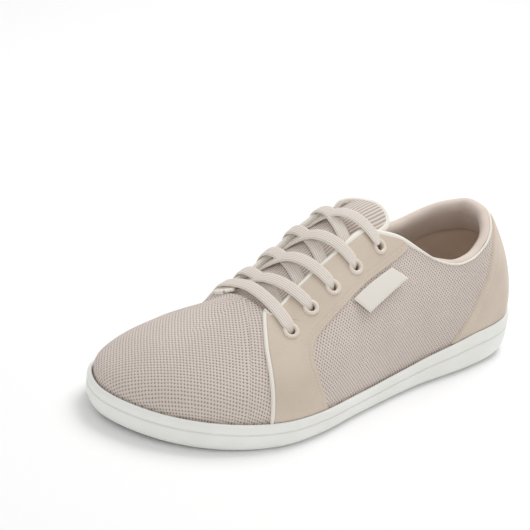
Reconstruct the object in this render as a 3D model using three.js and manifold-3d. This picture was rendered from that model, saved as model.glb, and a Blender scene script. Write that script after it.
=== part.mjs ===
// Barefoot sneaker for the left foot, empty and standing on its sole.
// Millimetres, +Z up, toe toward -X, outer side of the foot toward -Y.
import * as THREE from 'three';
import { mergeVertices } from 'three/addons/utils/BufferGeometryUtils.js';
import Module from 'manifold-3d';

const wasm = await Module();
wasm.setup();
const { lerp, clamp } = THREE.MathUtils;

// Driving dimensions of the shoe
const SOLE_LENGTH = 285;
const BALL_WIDTH = 115;
const SIDEWALL_HEIGHT = 24;
const HEEL_CURL = 9.5;
const INSTEP_HEIGHT = 114;
const COLLAR_HEIGHT = 90;
const THROAT_WIDTH = 42;

// Thicknesses
const GAP = 0.3;
const SOLE_FLOOR = 6.5;
const LIP_INSET = 3;
const UPPER_WALL = 2;
const OVERLAY = 1;
const INSOLE_THICKNESS = 4;
const TONGUE_WIDTH = 46;
const TONGUE_THICKNESS = 3.6;
const TONGUE_RISE = 6;
const TONGUE_CLEARANCE = 1.1;

// Sole edge and tread
const LOWER_EDGE = 5;
const GROOVE_DEPTH = 0.8;
const TREAD_DEPTH = 2;
const TREAD_BORDER = 8;
const LUG_PITCH = 15.8;
const LUG_WIDTH = 12.6;
const RIB_PITCH = 7.4;
const RIB_WIDTH = 4.4;
const RIB_WAVE = 31;
const RIB_SWING = 3.5;
const TOE_BAND = 48;
const HEEL_BAND = 48;

// Collar, piping, eyelets, lace and label
const COLLAR_PAD = 5;
const COLLAR_DEPTH = 20;
const COLLAR_TAPER = 5;
const COLLAR_CLEARANCE = 0.7;
const COLLAR_FRONT = 0.38;
const PIPING_RADIUS = 0.9;
const EYELET_INSET = 12;
const EYELET_OUTER = 4.6;
const EYELET_BORE = 2.2;
const EYELET_FLANGE = 0.9;
const EYELET_SHANK = 0.7;
const LACE_WIDTH = 7;
const LACE_THICKNESS = 1.6;
const LABEL_THICKNESS = 1;
const LABEL_LIFT = 2.4;

// Facets: columns behind the throat corner, across the throat end and round the toe, and rows up the wall
const REAR_COLUMNS = 16;
const THROAT_COLUMNS = 3;
const TOE_COLUMNS = 7;
const WALL_ROWS = 6;
const HOLE_SIDES = 6;
const STRAND_STEPS = 7;
const LUGS_EACH_WAY = 12;

// Shares: where the throat ends in front, how far the footbed follows the lift of the underside,
// how the section columns crowd together at the heel, the lowest row of a shell without a skirt,
// and the length over which the rounding under the lace fades out toward the vamp
const THROAT_FRONT = 0.722;
const FOOTBED_FOLLOW = 0.8;
const COLUMN_SPREAD = 0.62;
const LOWEST_ROW = 0.004;
const SADDLE_FADE = 0.1;

const OUTER = 1;
const INNER = -1;

// Sole outline from above, heel back first and round by the outer side: shares of length and of ball width
const OUTLINE = [
  { along: 0.000, across: 0.010 }, { along: 0.019, across: 0.237 }, { along: 0.073, across: 0.350 },
  { along: 0.190, across: 0.393 }, { along: 0.365, across: 0.397 }, { along: 0.546, across: 0.442 },
  { along: 0.670, across: 0.485 }, { along: 0.765, across: 0.478 }, { along: 0.856, across: 0.393 },
  { along: 0.918, across: 0.280 }, { along: 0.969, across: 0.121 }, { along: 0.998, across: -0.091 },
  { along: 0.995, across: -0.240 }, { along: 0.952, across: -0.417 }, { along: 0.893, across: -0.486 },
  { along: 0.814, across: -0.514 }, { along: 0.712, across: -0.498 }, { along: 0.596, across: -0.436 },
  { along: 0.492, across: -0.335 }, { along: 0.386, across: -0.302 }, { along: 0.253, across: -0.327 },
  { along: 0.144, across: -0.323 }, { along: 0.073, across: -0.264 }, { along: 0.011, across: -0.117 },
];

// Along the sole: lift of its underside as a share of the heel curl, sidewall as a share of its height
const SOLE_SIDE = [
  { along: 0.00, lift: 1.000, side: 0.80 }, { along: 0.05, lift: 0.430, side: 0.88 },
  { along: 0.10, lift: 0.150, side: 0.95 }, { along: 0.17, lift: 0.000, side: 0.97 },
  { along: 0.28, lift: 0.000, side: 0.83 }, { along: 0.42, lift: 0.000, side: 0.66 },
  { along: 0.55, lift: 0.000, side: 0.60 }, { along: 0.70, lift: 0.000, side: 0.63 },
  { along: 0.80, lift: 0.000, side: 0.66 }, { along: 0.90, lift: 0.090, side: 0.68 },
  { along: 1.00, lift: 0.340, side: 0.66 },
];

// The last: crown height as a share of the instep, how square each section is in width and in height,
// and how much more pointed its inner half is than its outer half
const LAST = [
  { along: 0.00, crown: 0.982, wide: 2.25, tall: 1.00, inner: 1.00 },
  { along: 0.12, crown: 1.000, wide: 1.60, tall: 1.00, inner: 1.00 },
  { along: 0.25, crown: 1.000, wide: 1.48, tall: 1.00, inner: 0.88 },
  { along: 0.38, crown: 0.956, wide: 1.40, tall: 1.00, inner: 0.68 },
  { along: 0.50, crown: 0.873, wide: 1.15, tall: 1.00, inner: 0.76 },
  { along: 0.60, crown: 0.728, wide: 1.00, tall: 1.00, inner: 1.22 },
  { along: 0.70, crown: 0.579, wide: 0.95, tall: 0.95, inner: 1.62 },
  { along: 0.80, crown: 0.465, wide: 0.90, tall: 0.90, inner: 1.60 },
  { along: 0.90, crown: 0.381, wide: 0.82, tall: 0.85, inner: 1.22 },
  { along: 1.00, crown: 0.298, wide: 0.75, tall: 0.80, inner: 1.00 },
];

// The crown line from above, and the two ends that every section leans toward
const CROWN_LINE = [
  { along: 0.00, across: 0.026 }, { along: 0.30, across: 0.026 }, { along: 0.50, across: 0.009 },
  { along: 0.75, across: -0.013 }, { along: 1.00, across: -0.078 },
];
const CROWN_START = 0.14;
const CROWN_END = 0.83;

// Top line of the collar in side view, share of the collar height
const TOP_LINE = [
  { along: 0.00, up: 1.000 }, { along: 0.05, up: 0.988 }, { along: 0.10, up: 0.915 },
  { along: 0.15, up: 0.817 }, { along: 0.20, up: 0.757 }, { along: 0.24, up: 0.747 },
  { along: 0.30, up: 0.796 }, { along: 0.35, up: 0.884 }, { along: 0.40, up: 0.975 },
  { along: 0.46, up: 1.034 }, { along: 0.52, up: 1.099 }, { along: 0.60, up: 1.338 },
];

// Half opening of the throat from above on its outer and inner side, shares of the throat width
const THROAT = [
  { along: 0.40, half: 0.36, inner: 0.30 }, { along: 0.48, half: 0.37, inner: 0.34 },
  { along: 0.54, half: 0.41, inner: 0.42 }, { along: 0.60, half: 0.42, inner: 0.46 },
  { along: 0.65, half: 0.44, inner: 0.49 }, { along: 0.70, half: 0.49, inner: 0.54 },
  { along: 0.76, half: 0.56, inner: 0.62 },
];

// Eyestay panel from the sole up to the collar: places on the last as shares round it and up it,
// and how much further back the inner panel lies. A front place with up 2 follows the rim of the throat.
const EYESTAY = [
  { front: 0.794, frontUp: 0.015, rear: 0.656, rearUp: 0.015, back: 0.055 },
  { front: 0.796, frontUp: 0.200, rear: 0.670, rearUp: 0.100, back: 0.055 },
  { front: 0.800, frontUp: 0.400, rear: 0.688, rearUp: 0.230, back: 0.050 },
  { front: 0.804, frontUp: 0.570, rear: 0.698, rearUp: 0.350, back: 0.040 },
  { front: 0.803, frontUp: 0.670, rear: 0.692, rearUp: 0.430, back: 0.020 },
  { front: 0.795, frontUp: 2, rear: 0.665, rearUp: 0.470, back: 0 },
  { front: 0.740, frontUp: 2, rear: 0.610, rearUp: 0.488, back: 0 },
  { front: 0.670, frontUp: 2, rear: 0.560, rearUp: 0.492, back: 0 },
  { front: 0.600, frontUp: 2, rear: 0.510, rearUp: 0.490, back: 0 },
  { front: 0.540, frontUp: 2, rear: 0.460, rearUp: 0.486, back: 0 },
  { front: 0.490, frontUp: 2, rear: 0.420, rearUp: 0.486, back: 0 },
  { front: 0.440, frontUp: 2, rear: 0.385, rearUp: 0.495, back: 0 },
  { front: 0.380, frontUp: 2, rear: 0.372, rearUp: 0.505, back: 0 },
];

// Heel counter: how far forward its seam lies at each height
const COUNTER = [
  { up: 0.015, along: 0.262 }, { up: 0.065, along: 0.224 }, { up: 0.140, along: 0.190 },
  { up: 0.215, along: 0.153 }, { up: 0.300, along: 0.121 }, { up: 0.370, along: 0.088 },
  { up: 0.420, along: 0.052 }, { up: 0.445, along: 0.022 },
];

// Tongue from its root to its tip: share of the sole's length, half width as a share of the tongue's width,
// and how far its sides stand up toward the tip as a share of their rise
const TONGUE = [
  { share: 0.00, along: 0.779, half: 0.60, rise: 0.0 }, { share: 0.17, along: 0.702, half: 0.59, rise: 0.0 },
  { share: 0.40, along: 0.596, half: 0.52, rise: 0.0 }, { share: 0.62, along: 0.500, half: 0.43, rise: 0.0 },
  { share: 0.82, along: 0.436, half: 0.35, rise: 0.4 }, { share: 0.94, along: 0.406, half: 0.36, rise: 1.0 },
  { share: 1.00, along: 0.396, half: 0.30, rise: 1.1 },
];

// Eyelet centres from above: share of the length on the outer and the inner side,
// and distance out from the throat's edge as a share of the inset
const EYELETS = [
  { outer: 0.710, inner: 0.694, inset: 1.03 }, { outer: 0.654, inner: 0.646, inset: 0.96 },
  { outer: 0.596, inner: 0.593, inset: 0.89 }, { outer: 0.534, inner: 0.541, inset: 0.76 },
  { outer: 0.461, inner: 0.492, inset: 0.45 },
];

// Corners of the label tab on the outer side, round the last and up it
const LABEL = [
  { along: 0.570, up: 0.478, low: 0.536, lowUp: 0.362 },
  { along: 0.440, up: 0.470, low: 0.404, lowUp: 0.388 },
];

// Rings of the sole from its underside round the sidewall to the lip: inset as a share of the lower edge,
// groove as a share of its depth, share of the side height, and rise as a share of the lower edge
const SOLE_RINGS = [
  { inset: 1.00, groove: 0.0, share: 0.00, rise: 0.00 }, { inset: 0.52, groove: 0.0, share: 0.00, rise: 0.14 },
  { inset: 0.22, groove: 0.0, share: 0.00, rise: 0.48 }, { inset: 0.00, groove: 0.0, share: 0.60, rise: 0.00 },
  { inset: 0.00, groove: 1.0, share: 0.66, rise: 0.00 }, { inset: 0.04, groove: 0.0, share: 0.72, rise: 0.00 },
  { inset: 0.24, groove: 0.0, share: 1.00, rise: 0.00 },
];

// Section of the collar: depth into the shoe as a share of the padding,
// height over the rim as a share of the collar's depth
const COLLAR_SECTION = [
  { depth: 0.00, height: -1.00 }, { depth: 0.00, height: 0.05 }, { depth: 0.25, height: 0.15 },
  { depth: 0.70, height: 0.13 }, { depth: 1.00, height: -0.06 }, { depth: 0.90, height: -0.45 },
  { depth: 0.16, height: -1.00 },
];
const COLLAR_THIN_END = 0.4;

// Section of the flat lace: shares of its width and thickness
const LACE_SECTION = [
  { wide: -0.50, thick: 0.0 }, { wide: -0.35, thick: 0.5 }, { wide: 0.35, thick: 0.5 },
  { wide: 0.50, thick: 0.0 }, { wide: 0.35, thick: -0.5 }, { wide: -0.35, thick: -0.5 },
];

// Levels of a strand's middle over the last: on the tongue, on a strand below, and over an eyelet
const LACE_LOW = -UPPER_WALL - TONGUE_CLEARANCE + 2 * GAP + LACE_THICKNESS / 2;
const LACE_HIGH = OVERLAY + 5 * GAP + EYELET_FLANGE + LACE_THICKNESS / 2;

// Height of a strand along its run, from the low level at 0 to the high one at 1: under or over the strand
// that it crosses, or as the bar
const STRAND = [
  { share: 0.00, under: 0.00, over: 0.03, bar: 1.00 }, { share: 0.18, under: 0.00, over: 0.18, bar: 0.90 },
  { share: 0.38, under: 0.12, over: 0.52, bar: 0.64 }, { share: 0.55, under: 0.50, over: 0.66, bar: 0.60 },
  { share: 0.66, under: 0.92, over: 0.92, bar: 0.70 }, { share: 0.82, under: 1.00, over: 1.00, bar: 0.95 },
  { share: 1.00, under: 1.00, over: 1.00, bar: 1.00 },
];

// Where a strand comes out from under the eyestay: share of the way to the next eyelet, and out to its side
const STRAND_START = { along: 0.45, across: 0.42 };

// Smooth curve through the rows of a table that never overshoots them
function curve(rows, from, to) {
  const x = rows.map((row) => row[from]);
  const y = rows.map((row) => row[to]);
  const step = x.slice(1).map((value, i) => value - x[i]);
  const rise = step.map((width, i) => (y[i + 1] - y[i]) / width);
  const slope = y.map((_, i) => {
    if (i === 0) return rise[0];
    if (i === y.length - 1) return rise[i - 1];
    if (rise[i - 1] * rise[i] <= 0) return 0;
    const before = 2 * step[i] + step[i - 1];
    const after = step[i] + 2 * step[i - 1];
    return (before + after) / (before / rise[i - 1] + after / rise[i]);
  });
  return (at) => {
    let i = 0;
    while (i < step.length - 1 && at > x[i + 1]) i += 1;
    const t = clamp((at - x[i]) / step[i], 0, 1);
    const keep = (1 + 2 * t) * (1 - t) ** 2 * y[i] + t * t * (3 - 2 * t) * y[i + 1];
    return keep + step[i] * (t * (1 - t) ** 2 * slope[i] - t * t * (1 - t) * slope[i + 1]);
  };
}

// Argument from low to high at which a rising function first reaches zero
function reach(low, high, value) {
  for (let i = 0; i < 28; i += 1) {
    const half = (low + high) / 2;
    if (value(half) < 0) low = half;
    else high = half;
  }
  return (low + high) / 2;
}

const outlineCurve = new THREE.CatmullRomCurve3(
  OUTLINE.map((row) => new THREE.Vector3(row.along * SOLE_LENGTH, row.across * BALL_WIDTH, 0)),
  true,
  'centripetal',
);
const OUTLINE_STEPS = 24 * OUTLINE.length;
const outlineTurns = Array.from({ length: OUTLINE_STEPS }, (_, i) => i / OUTLINE_STEPS);
const outlinePoints = outlineTurns.map((turn) => outlineCurve.getPoint(turn));
const outlineLength = outlineCurve.getLength();
const outlineBox = new THREE.Box3().setFromPoints(outlinePoints);
const middle = outlineBox.getCenter(new THREE.Vector3());
const heelStep = outlinePoints.reduce((best, p, i) => (p.x < outlinePoints[best].x ? i : best), 0);
const toeStep = outlinePoints.reduce((best, p, i) => (p.x > outlinePoints[best].x ? i : best), 0);
const HEEL_TURN = (heelStep > OUTLINE_STEPS / 2 ? heelStep - OUTLINE_STEPS : heelStep) / OUTLINE_STEPS;
const TOE_TURN = toeStep / OUTLINE_STEPS;

const lift = curve(SOLE_SIDE, 'along', 'lift');
const sideShare = curve(SOLE_SIDE, 'along', 'side');
const crown = curve(LAST, 'along', 'crown');
const wide = curve(LAST, 'along', 'wide');
const innerWide = curve(LAST, 'along', 'inner');
const tall = curve(LAST, 'along', 'tall');
const crownAcross = curve(CROWN_LINE, 'along', 'across');
const topLine = curve(TOP_LINE, 'along', 'up');
const throatOuter = curve(THROAT, 'along', 'half');
const throatInner = curve(THROAT, 'along', 'inner');

const underside = (along) => HEEL_CURL * lift(along);
const feather = (along) => underside(along) + SIDEWALL_HEIGHT * sideShare(along);
const footbed = (along) => SOLE_FLOOR + FOOTBED_FOLLOW * underside(along);

// Point of the sole outline at a turn round it, moved inward, as distance from the heel and out to the side
function footprint(turn, inset = 0) {
  const wrapped = ((turn % 1) + 1) % 1;
  const point = outlineCurve.getPoint(wrapped);
  const ahead = outlineCurve.getPoint((wrapped + 0.002) % 1);
  const behind = outlineCurve.getPoint((wrapped + 0.998) % 1);
  const tangent = ahead.sub(behind).normalize();
  return new THREE.Vector2(point.x + tangent.y * inset, point.y - tangent.x * inset);
}

// Turn round the outline at a share of the length, on one side
function turnAt(side, along) {
  const x = lerp(outlineBox.min.x, outlineBox.max.x, along);
  const end = side === OUTER ? TOE_TURN : TOE_TURN - 1;
  const at = (t) => lerp(HEEL_TURN, end, t);
  return at(reach(0, 1, (t) => footprint(at(t)).x - x));
}

// From distances along and across to the model's own frame
function place(x, across, z) {
  return new THREE.Vector3(middle.x - x, middle.y - across, z);
}

// Surface of the last: a turn round the outline, a share up from the feather line to the crown
// How square a section is in width, on the side that a turn lies on
function squareness(turn, along) {
  const past = (((turn - HEEL_TURN) % 1) + 1) % 1;
  return wide(along) * (past > TOE_TURN - HEEL_TURN ? innerWide(along) : 1);
}

function lastBare(turn, up) {
  const foot = footprint(turn, LIP_INSET);
  const along = clamp(foot.x / SOLE_LENGTH, 0, 1);
  const spine = lerp(CROWN_START, CROWN_END, along);
  const angle = up * Math.PI / 2;
  const inward = 1 - Math.max(Math.cos(angle), 0) ** squareness(turn, along);
  const x = lerp(foot.x, spine * SOLE_LENGTH, inward);
  const across = lerp(foot.y, crownAcross(spine) * BALL_WIDTH, inward);
  const low = feather(along);
  const top = INSTEP_HEIGHT * crown(x / SOLE_LENGTH);
  return place(x, across, low + (top - low) * Math.sin(angle) ** tall(along));
}

function lastNormal(turn, up) {
  const d = 0.004;
  const nearCrown = 0.96;
  const high = Math.min(up, nearCrown);
  const round = lastBare(turn + d, high).sub(lastBare(turn - d, high));
  const rising = lastBare(turn, high + d).sub(lastBare(turn, Math.max(high - d, 0)));
  const normal = rising.cross(round).normalize();
  if (up <= nearCrown) return normal;
  const share = (middle.x - lastBare(turn, 1).x) / SOLE_LENGTH;
  const slope = INSTEP_HEIGHT * (crown(share + d) - crown(share - d)) / (2 * d * SOLE_LENGTH);
  return new THREE.Vector3(slope, 0, 1).normalize().lerp(normal, (1 - up) / (1 - nearCrown)).normalize();
}

// Point at a distance out from the last, negative for inside it
function last(turn, up, out = 0) {
  return lastBare(turn, up).addScaledVector(lastNormal(turn, up), out);
}

// Whether a point of the last lies in the opening of the collar and throat: above 0 where it does
function inOpening(point) {
  const along = (middle.x - point.x) / SOLE_LENGTH;
  if (along < TOP_LINE[TOP_LINE.length - 1].along && point.z > COLLAR_HEIGHT * topLine(along)) return 1;
  const out = middle.y - point.y - crownAcross(along) * BALL_WIDTH;
  const share = out > 0 ? throatOuter(along) : throatInner(along);
  const half = along > THROAT[0].along ? THROAT_WIDTH * share : 0;
  return along < THROAT_FRONT && Math.abs(out) < half ? 1 : -1;
}

// Share up the last at which a turn meets the rim of the opening, 1 where it doesn't
function rimUp(turn) {
  const step = 0.02;
  const opens = (up) => inOpening(lastBare(turn, up));
  for (let up = 5 * step; up < 1; up += step) {
    if (opens(up) > 0) return reach(up - step, up, opens);
  }
  return 1;
}

// Closed solid from vertices and triangles, turned so that its faces point out
function solidOf(points, triangles) {
  const vertProperties = new Float32Array(points.flatMap((p) => [p.x, p.y, p.z]));
  let volume = 0;
  for (const [a, b, c] of triangles) volume += points[a].dot(points[b].clone().cross(points[c]));
  const turned = volume > 0 ? triangles : triangles.map(([a, b, c]) => [a, c, b]);
  const triVerts = new Uint32Array(turned.flat());
  return new wasm.Manifold(new wasm.Mesh({ numProp: 3, vertProperties, triVerts }));
}

function solidFromGeometry(geometry) {
  geometry.deleteAttribute('normal');
  geometry.deleteAttribute('uv');
  const merged = mergeVertices(geometry, 1e-4);
  return new wasm.Manifold(new wasm.Mesh({
    numProp: 3,
    vertProperties: new Float32Array(merged.attributes.position.array),
    triVerts: new Uint32Array(merged.index.array),
  }));
}

// Solid between two matching grids of points
function slab(front, back) {
  const rows = front.length;
  const columns = front[0].length;
  const points = [...front.flat(), ...back.flat()];
  const at = (layer, i, j) => layer * rows * columns + i * columns + j;
  const triangles = [];
  const quad = (a, b, c, d) => triangles.push([a, b, c], [a, c, d]);
  for (let i = 0; i + 1 < rows; i += 1) {
    for (let j = 0; j + 1 < columns; j += 1) {
      quad(at(0, i, j), at(0, i, j + 1), at(0, i + 1, j + 1), at(0, i + 1, j));
      quad(at(1, i + 1, j), at(1, i + 1, j + 1), at(1, i, j + 1), at(1, i, j));
    }
    quad(at(0, i, 0), at(0, i + 1, 0), at(1, i + 1, 0), at(1, i, 0));
    quad(at(0, i + 1, columns - 1), at(0, i, columns - 1), at(1, i, columns - 1), at(1, i + 1, columns - 1));
  }
  for (let j = 0; j + 1 < columns; j += 1) {
    quad(at(0, 0, j + 1), at(0, 0, j), at(1, 0, j), at(1, 0, j + 1));
    quad(at(0, rows - 1, j), at(0, rows - 1, j + 1), at(1, rows - 1, j + 1), at(1, rows - 1, j));
  }
  return solidOf(points, triangles);
}

// Solid along a path from a list of equal sections
function sweep(sections, closed = false) {
  const size = sections[0].length;
  const count = sections.length;
  const triangles = [];
  for (let i = 0; i < (closed ? count : count - 1); i += 1) {
    const next = (i + 1) % count;
    for (let j = 0; j < size; j += 1) {
      const k = (j + 1) % size;
      const [a, b, c, d] = [i * size + j, next * size + j, next * size + k, i * size + k];
      triangles.push([a, b, c], [a, c, d]);
    }
  }
  if (!closed) {
    for (let j = 1; j + 1 < size; j += 1) {
      triangles.push([0, j, j + 1]);
      triangles.push([(count - 1) * size, (count - 1) * size + j + 1, (count - 1) * size + j]);
    }
  }
  return solidOf(sections.flat(), triangles);
}

// Turned sections of one radius along points that lie on the last, in the plane of its normal
function cord(points, normals, radius, sides = 5) {
  return sweep(points.map((p, i) => {
    const ahead = points[Math.min(i + 1, points.length - 1)];
    const behind = points[Math.max(i - 1, 0)];
    const tangent = ahead.clone().sub(behind).normalize();
    const across = tangent.clone().cross(normals[i]).normalize();
    const upward = across.clone().cross(tangent).normalize();
    return Array.from({ length: sides }, (_, k) => {
      const angle = 2 * Math.PI * (k + 0.5) / sides;
      return p.clone().addScaledVector(across, radius * Math.cos(angle))
        .addScaledVector(upward, radius * Math.sin(angle));
    });
  }));
}

// Shares of the length at which the columns stand, closer together where the outline turns
const cornerRow = EYESTAY.findIndex((row) => row.frontUp > 1);
const corner = EYESTAY[cornerRow].front;
const throatFront = (THROAT_FRONT - CROWN_START) / (CROWN_END - CROWN_START);
const columnAlong = [];
for (let i = 0; i < REAR_COLUMNS; i += 1) {
  const crowded = (t) => 1 - Math.cos(t * Math.PI * COLUMN_SPREAD);
  columnAlong.push(corner * crowded(i / REAR_COLUMNS) / crowded(1));
}
for (let i = 0; i < THROAT_COLUMNS; i += 1) {
  columnAlong.push(lerp(corner, throatFront, i / THROAT_COLUMNS));
}
for (let i = 0; i <= TOE_COLUMNS; i += 1) {
  columnAlong.push(throatFront + (1 - throatFront) * Math.sin(i / TOE_COLUMNS * Math.PI / 2));
}
const HALF = columnAlong.length - 1;
const columnTurns = [
  ...columnAlong.map((along) => turnAt(OUTER, along)),
  ...columnAlong.slice(1, -1).reverse().map((along) => turnAt(INNER, along)),
];
const columnShare = [...columnAlong, ...columnAlong.slice(1, -1).reverse()];
const COLUMNS = columnTurns.length;
const mirrorColumn = (j) => (COLUMNS - j) % COLUMNS;

const columnRims = columnTurns.map((turn, j) => (columnShare[j] >= throatFront - 1e-6 ? 1 : rimUp(turn)));

// Hollow shell between two distances from the last, up to the rim of the opening.
// A skirt carries its lower edge down into the sole.
function makeShell(outward, inward, hasSkirt) {
  const points = [];
  const shares = Array.from({ length: WALL_ROWS + 1 }, (_, i) => i / WALL_ROWS);
  const levels = hasSkirt ? ['skirt', ...shares] : shares;
  const top = levels.length - 1;
  const layers = [outward, inward].map((out) => levels.map((level, i) => {
    const row = [];
    columnTurns.forEach((turn, j) => {
      if (i === top && columnRims[j] === 1 && j > HALF) {
        row.push(row[mirrorColumn(j)]);
        return;
      }
      if (level === 'skirt') {
        const foot = footprint(turn, LIP_INSET - out);
        points.push(place(foot.x, foot.y, footbed(foot.x / SOLE_LENGTH) + GAP));
      } else {
        const up = columnRims[j] * level;
        points.push(last(turn, hasSkirt ? up : Math.max(up, LOWEST_ROW), out));
      }
      row.push(points.length - 1);
    });
    return row;
  }));
  const triangles = [];
  const quad = (a, b, c, d) => [[a, b, c], [a, c, d]].forEach((triangle) => {
    if (new Set(triangle).size === 3) triangles.push(triangle);
  });
  const [front, back] = layers;
  for (let j = 0; j < COLUMNS; j += 1) {
    const k = (j + 1) % COLUMNS;
    for (let i = 0; i < top; i += 1) {
      quad(front[i][j], front[i][k], front[i + 1][k], front[i + 1][j]);
      quad(back[i][j], back[i + 1][j], back[i + 1][k], back[i][k]);
    }
    quad(front[0][k], front[0][j], back[0][j], back[0][k]);
    const isOpen = columnRims[j] < 1 || columnRims[k] < 1;
    if (isOpen) quad(front[top][j], front[top][k], back[top][k], back[top][j]);
  }
  return solidOf(points, triangles);
}

// Flat or gently curved surface across the foot, between the two sides of one ring
function fillAcross(ring, triangles, flip) {
  for (let j = 0; j < HALF; j += 1) {
    const left = ring[j];
    const leftNext = ring[j + 1];
    const right = ring[mirrorColumn(j)];
    const rightNext = ring[mirrorColumn(j + 1)];
    const add = (a, b, c) => {
      if (a !== b && b !== c && c !== a) triangles.push(flip ? [a, c, b] : [a, b, c]);
    };
    add(left, leftNext, rightNext);
    add(left, rightNext, right);
  }
}

function stack(rings, points) {
  const triangles = [];
  for (let i = 0; i + 1 < rings.length; i += 1) {
    for (let j = 0; j < COLUMNS; j += 1) {
      const k = (j + 1) % COLUMNS;
      const [a, b, c, d] = [rings[i][j], rings[i][k], rings[i + 1][k], rings[i + 1][j]];
      triangles.push([a, b, c], [a, c, d]);
    }
  }
  fillAcross(rings[0], triangles, true);
  fillAcross(rings[rings.length - 1], triangles, false);
  return solidOf(points, triangles);
}

function ringAt(points, inset, height) {
  return columnTurns.map((turn, j) => {
    const foot = footprint(turn, inset);
    points.push(place(foot.x, foot.y, height(foot.x / SOLE_LENGTH, columnShare[j])));
    return points.length - 1;
  });
}

function makeSoleBody() {
  const points = [];
  const rings = SOLE_RINGS.map((row) => {
    const inset = row.inset * LOWER_EDGE + row.groove * GROOVE_DEPTH;
    return ringAt(points, inset, (along, share) => {
      const bottom = underside(along);
      return bottom + (feather(share) - bottom) * row.share + row.rise * LOWER_EDGE;
    });
  });
  rings.push(ringAt(points, LIP_INSET - GAP, (along, share) => feather(share)));
  rings.push(ringAt(points, LIP_INSET - GAP, (along) => footbed(along)));
  return stack(rings, points);
}

function prism(shape, low, high) {
  const geometry = new THREE.ExtrudeGeometry(shape, { depth: high - low, bevelEnabled: false, steps: 1 });
  geometry.translate(0, 0, low);
  return solidFromGeometry(geometry);
}

function hexagon(x, y, width) {
  const shape = new THREE.Shape();
  const radius = width / Math.sqrt(3);
  for (let k = 0; k < 6; k += 1) {
    const angle = (k + 0.5) * Math.PI / 3;
    const point = [x + radius * Math.cos(angle), y + radius * Math.sin(angle)];
    if (k === 0) shape.moveTo(...point);
    else shape.lineTo(...point);
  }
  shape.closePath();
  return shape;
}

// Wavy rib across the sole at a distance along it
function wavyRib(x, bandDirection) {
  const waves = 2 * Math.ceil(BALL_WIDTH / RIB_WAVE / 2);
  const steps = 6 * waves;
  const line = Array.from({ length: steps + 1 }, (_, i) => {
    const y = (i / steps - 0.5) * waves * RIB_WAVE;
    return new THREE.Vector2(x + bandDirection * RIB_SWING * Math.cos(2 * Math.PI * y / RIB_WAVE), y);
  });
  const shift = new THREE.Vector2(RIB_WIDTH / 2, 0);
  const front = line.map((p) => p.clone().add(shift));
  const back = line.map((p) => p.clone().sub(shift)).reverse();
  return new THREE.Shape([...front, ...back]);
}

// Channels between the lugs, cut up into the underside inside a plain border
function makeTreadChannels() {
  const below = -TREAD_DEPTH;
  const above = HEEL_CURL + SOLE_FLOOR;
  const points = [];
  const rings = [
    ringAt(points, TREAD_BORDER, () => below),
    ringAt(points, TREAD_BORDER, (along) => underside(along) + TREAD_DEPTH),
  ];
  const field = stack(rings, points);
  const lugs = [];
  const toeLimit = middle.x - (SOLE_LENGTH - TOE_BAND);
  const heelLimit = middle.x - HEEL_BAND;
  const rows = Math.ceil(BALL_WIDTH / LUG_PITCH);
  const rowStep = LUG_PITCH * Math.sqrt(3) / 2;
  const lug = (shape) => prism(shape, 2 * below, above);
  for (let row = -rows; row <= rows; row += 1) {
    for (let n = -LUGS_EACH_WAY; n <= LUGS_EACH_WAY; n += 1) {
      const x = (n + (row % 2 === 0 ? 0 : 0.5)) * LUG_PITCH;
      if (x > toeLimit + LUG_WIDTH / 2 && x < heelLimit - LUG_WIDTH / 2) {
        lugs.push(lug(hexagon(x, row * rowStep, LUG_WIDTH)));
      }
    }
  }
  for (let x = toeLimit - RIB_WIDTH / 2; x > middle.x - SOLE_LENGTH; x -= RIB_PITCH) {
    lugs.push(lug(wavyRib(x, 1)));
  }
  for (let x = heelLimit + RIB_WIDTH / 2; x < middle.x; x += RIB_PITCH) {
    lugs.push(lug(wavyRib(x, -1)));
  }
  return field.subtract(wasm.Manifold.union(lugs));
}

function makeInsole() {
  const points = [];
  const inset = LIP_INSET + UPPER_WALL + GAP;
  const rings = [
    ringAt(points, inset, (along) => footbed(along) + GAP),
    ringAt(points, inset, (along) => footbed(along) + GAP + INSOLE_THICKNESS),
  ];
  return stack(rings, points);
}

// Turn at which the last has a given distance from the heel, at a share up it
function turnAtDistance(side, up, x) {
  const start = HEEL_TURN;
  const end = side === OUTER ? TOE_TURN : TOE_TURN - 1;
  const at = (t) => lerp(start, end, t);
  return at(reach(0, 1, (t) => middle.x - lastBare(at(t), up).x - x));
}

// Place on the last above a point seen from above
function draped(x, across) {
  const side = across >= crownAcross(x / SOLE_LENGTH) * BALL_WIDTH ? OUTER : INNER;
  const up = reach(0.05, 0.999, (u) => {
    const p = lastBare(turnAtDistance(side, u, x), u);
    return side * (across - (middle.y - p.y));
  });
  return { turn: turnAtDistance(side, up, x), up };
}

// Surface under the lace: the last, rounded over between the two edges of the throat
function saddleHeight(x, across) {
  const along = x / SOLE_LENGTH;
  const heightAt = (at) => {
    const spot = draped(x, at);
    return lastBare(spot.turn, spot.up).z;
  };
  const own = heightAt(across);
  const crownLine = crownAcross(along) * BALL_WIDTH;
  const low = crownLine - THROAT_WIDTH * throatInner(along);
  const high = crownLine + THROAT_WIDTH * throatOuter(along);
  const t = 2 * (across - low) / (high - low) - 1;
  if (Math.abs(t) >= 1 || along > THROAT_FRONT) return own;
  const edges = lerp(heightAt(low), heightAt(high), (t + 1) / 2);
  const middleEdges = (heightAt(low) + heightAt(high)) / 2;
  const rounded = edges + (INSTEP_HEIGHT * crown(along) - middleEdges) * (1 - t * t);
  return lerp(own, rounded, Math.min((THROAT_FRONT - along) / SADDLE_FADE, 1));
}

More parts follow.
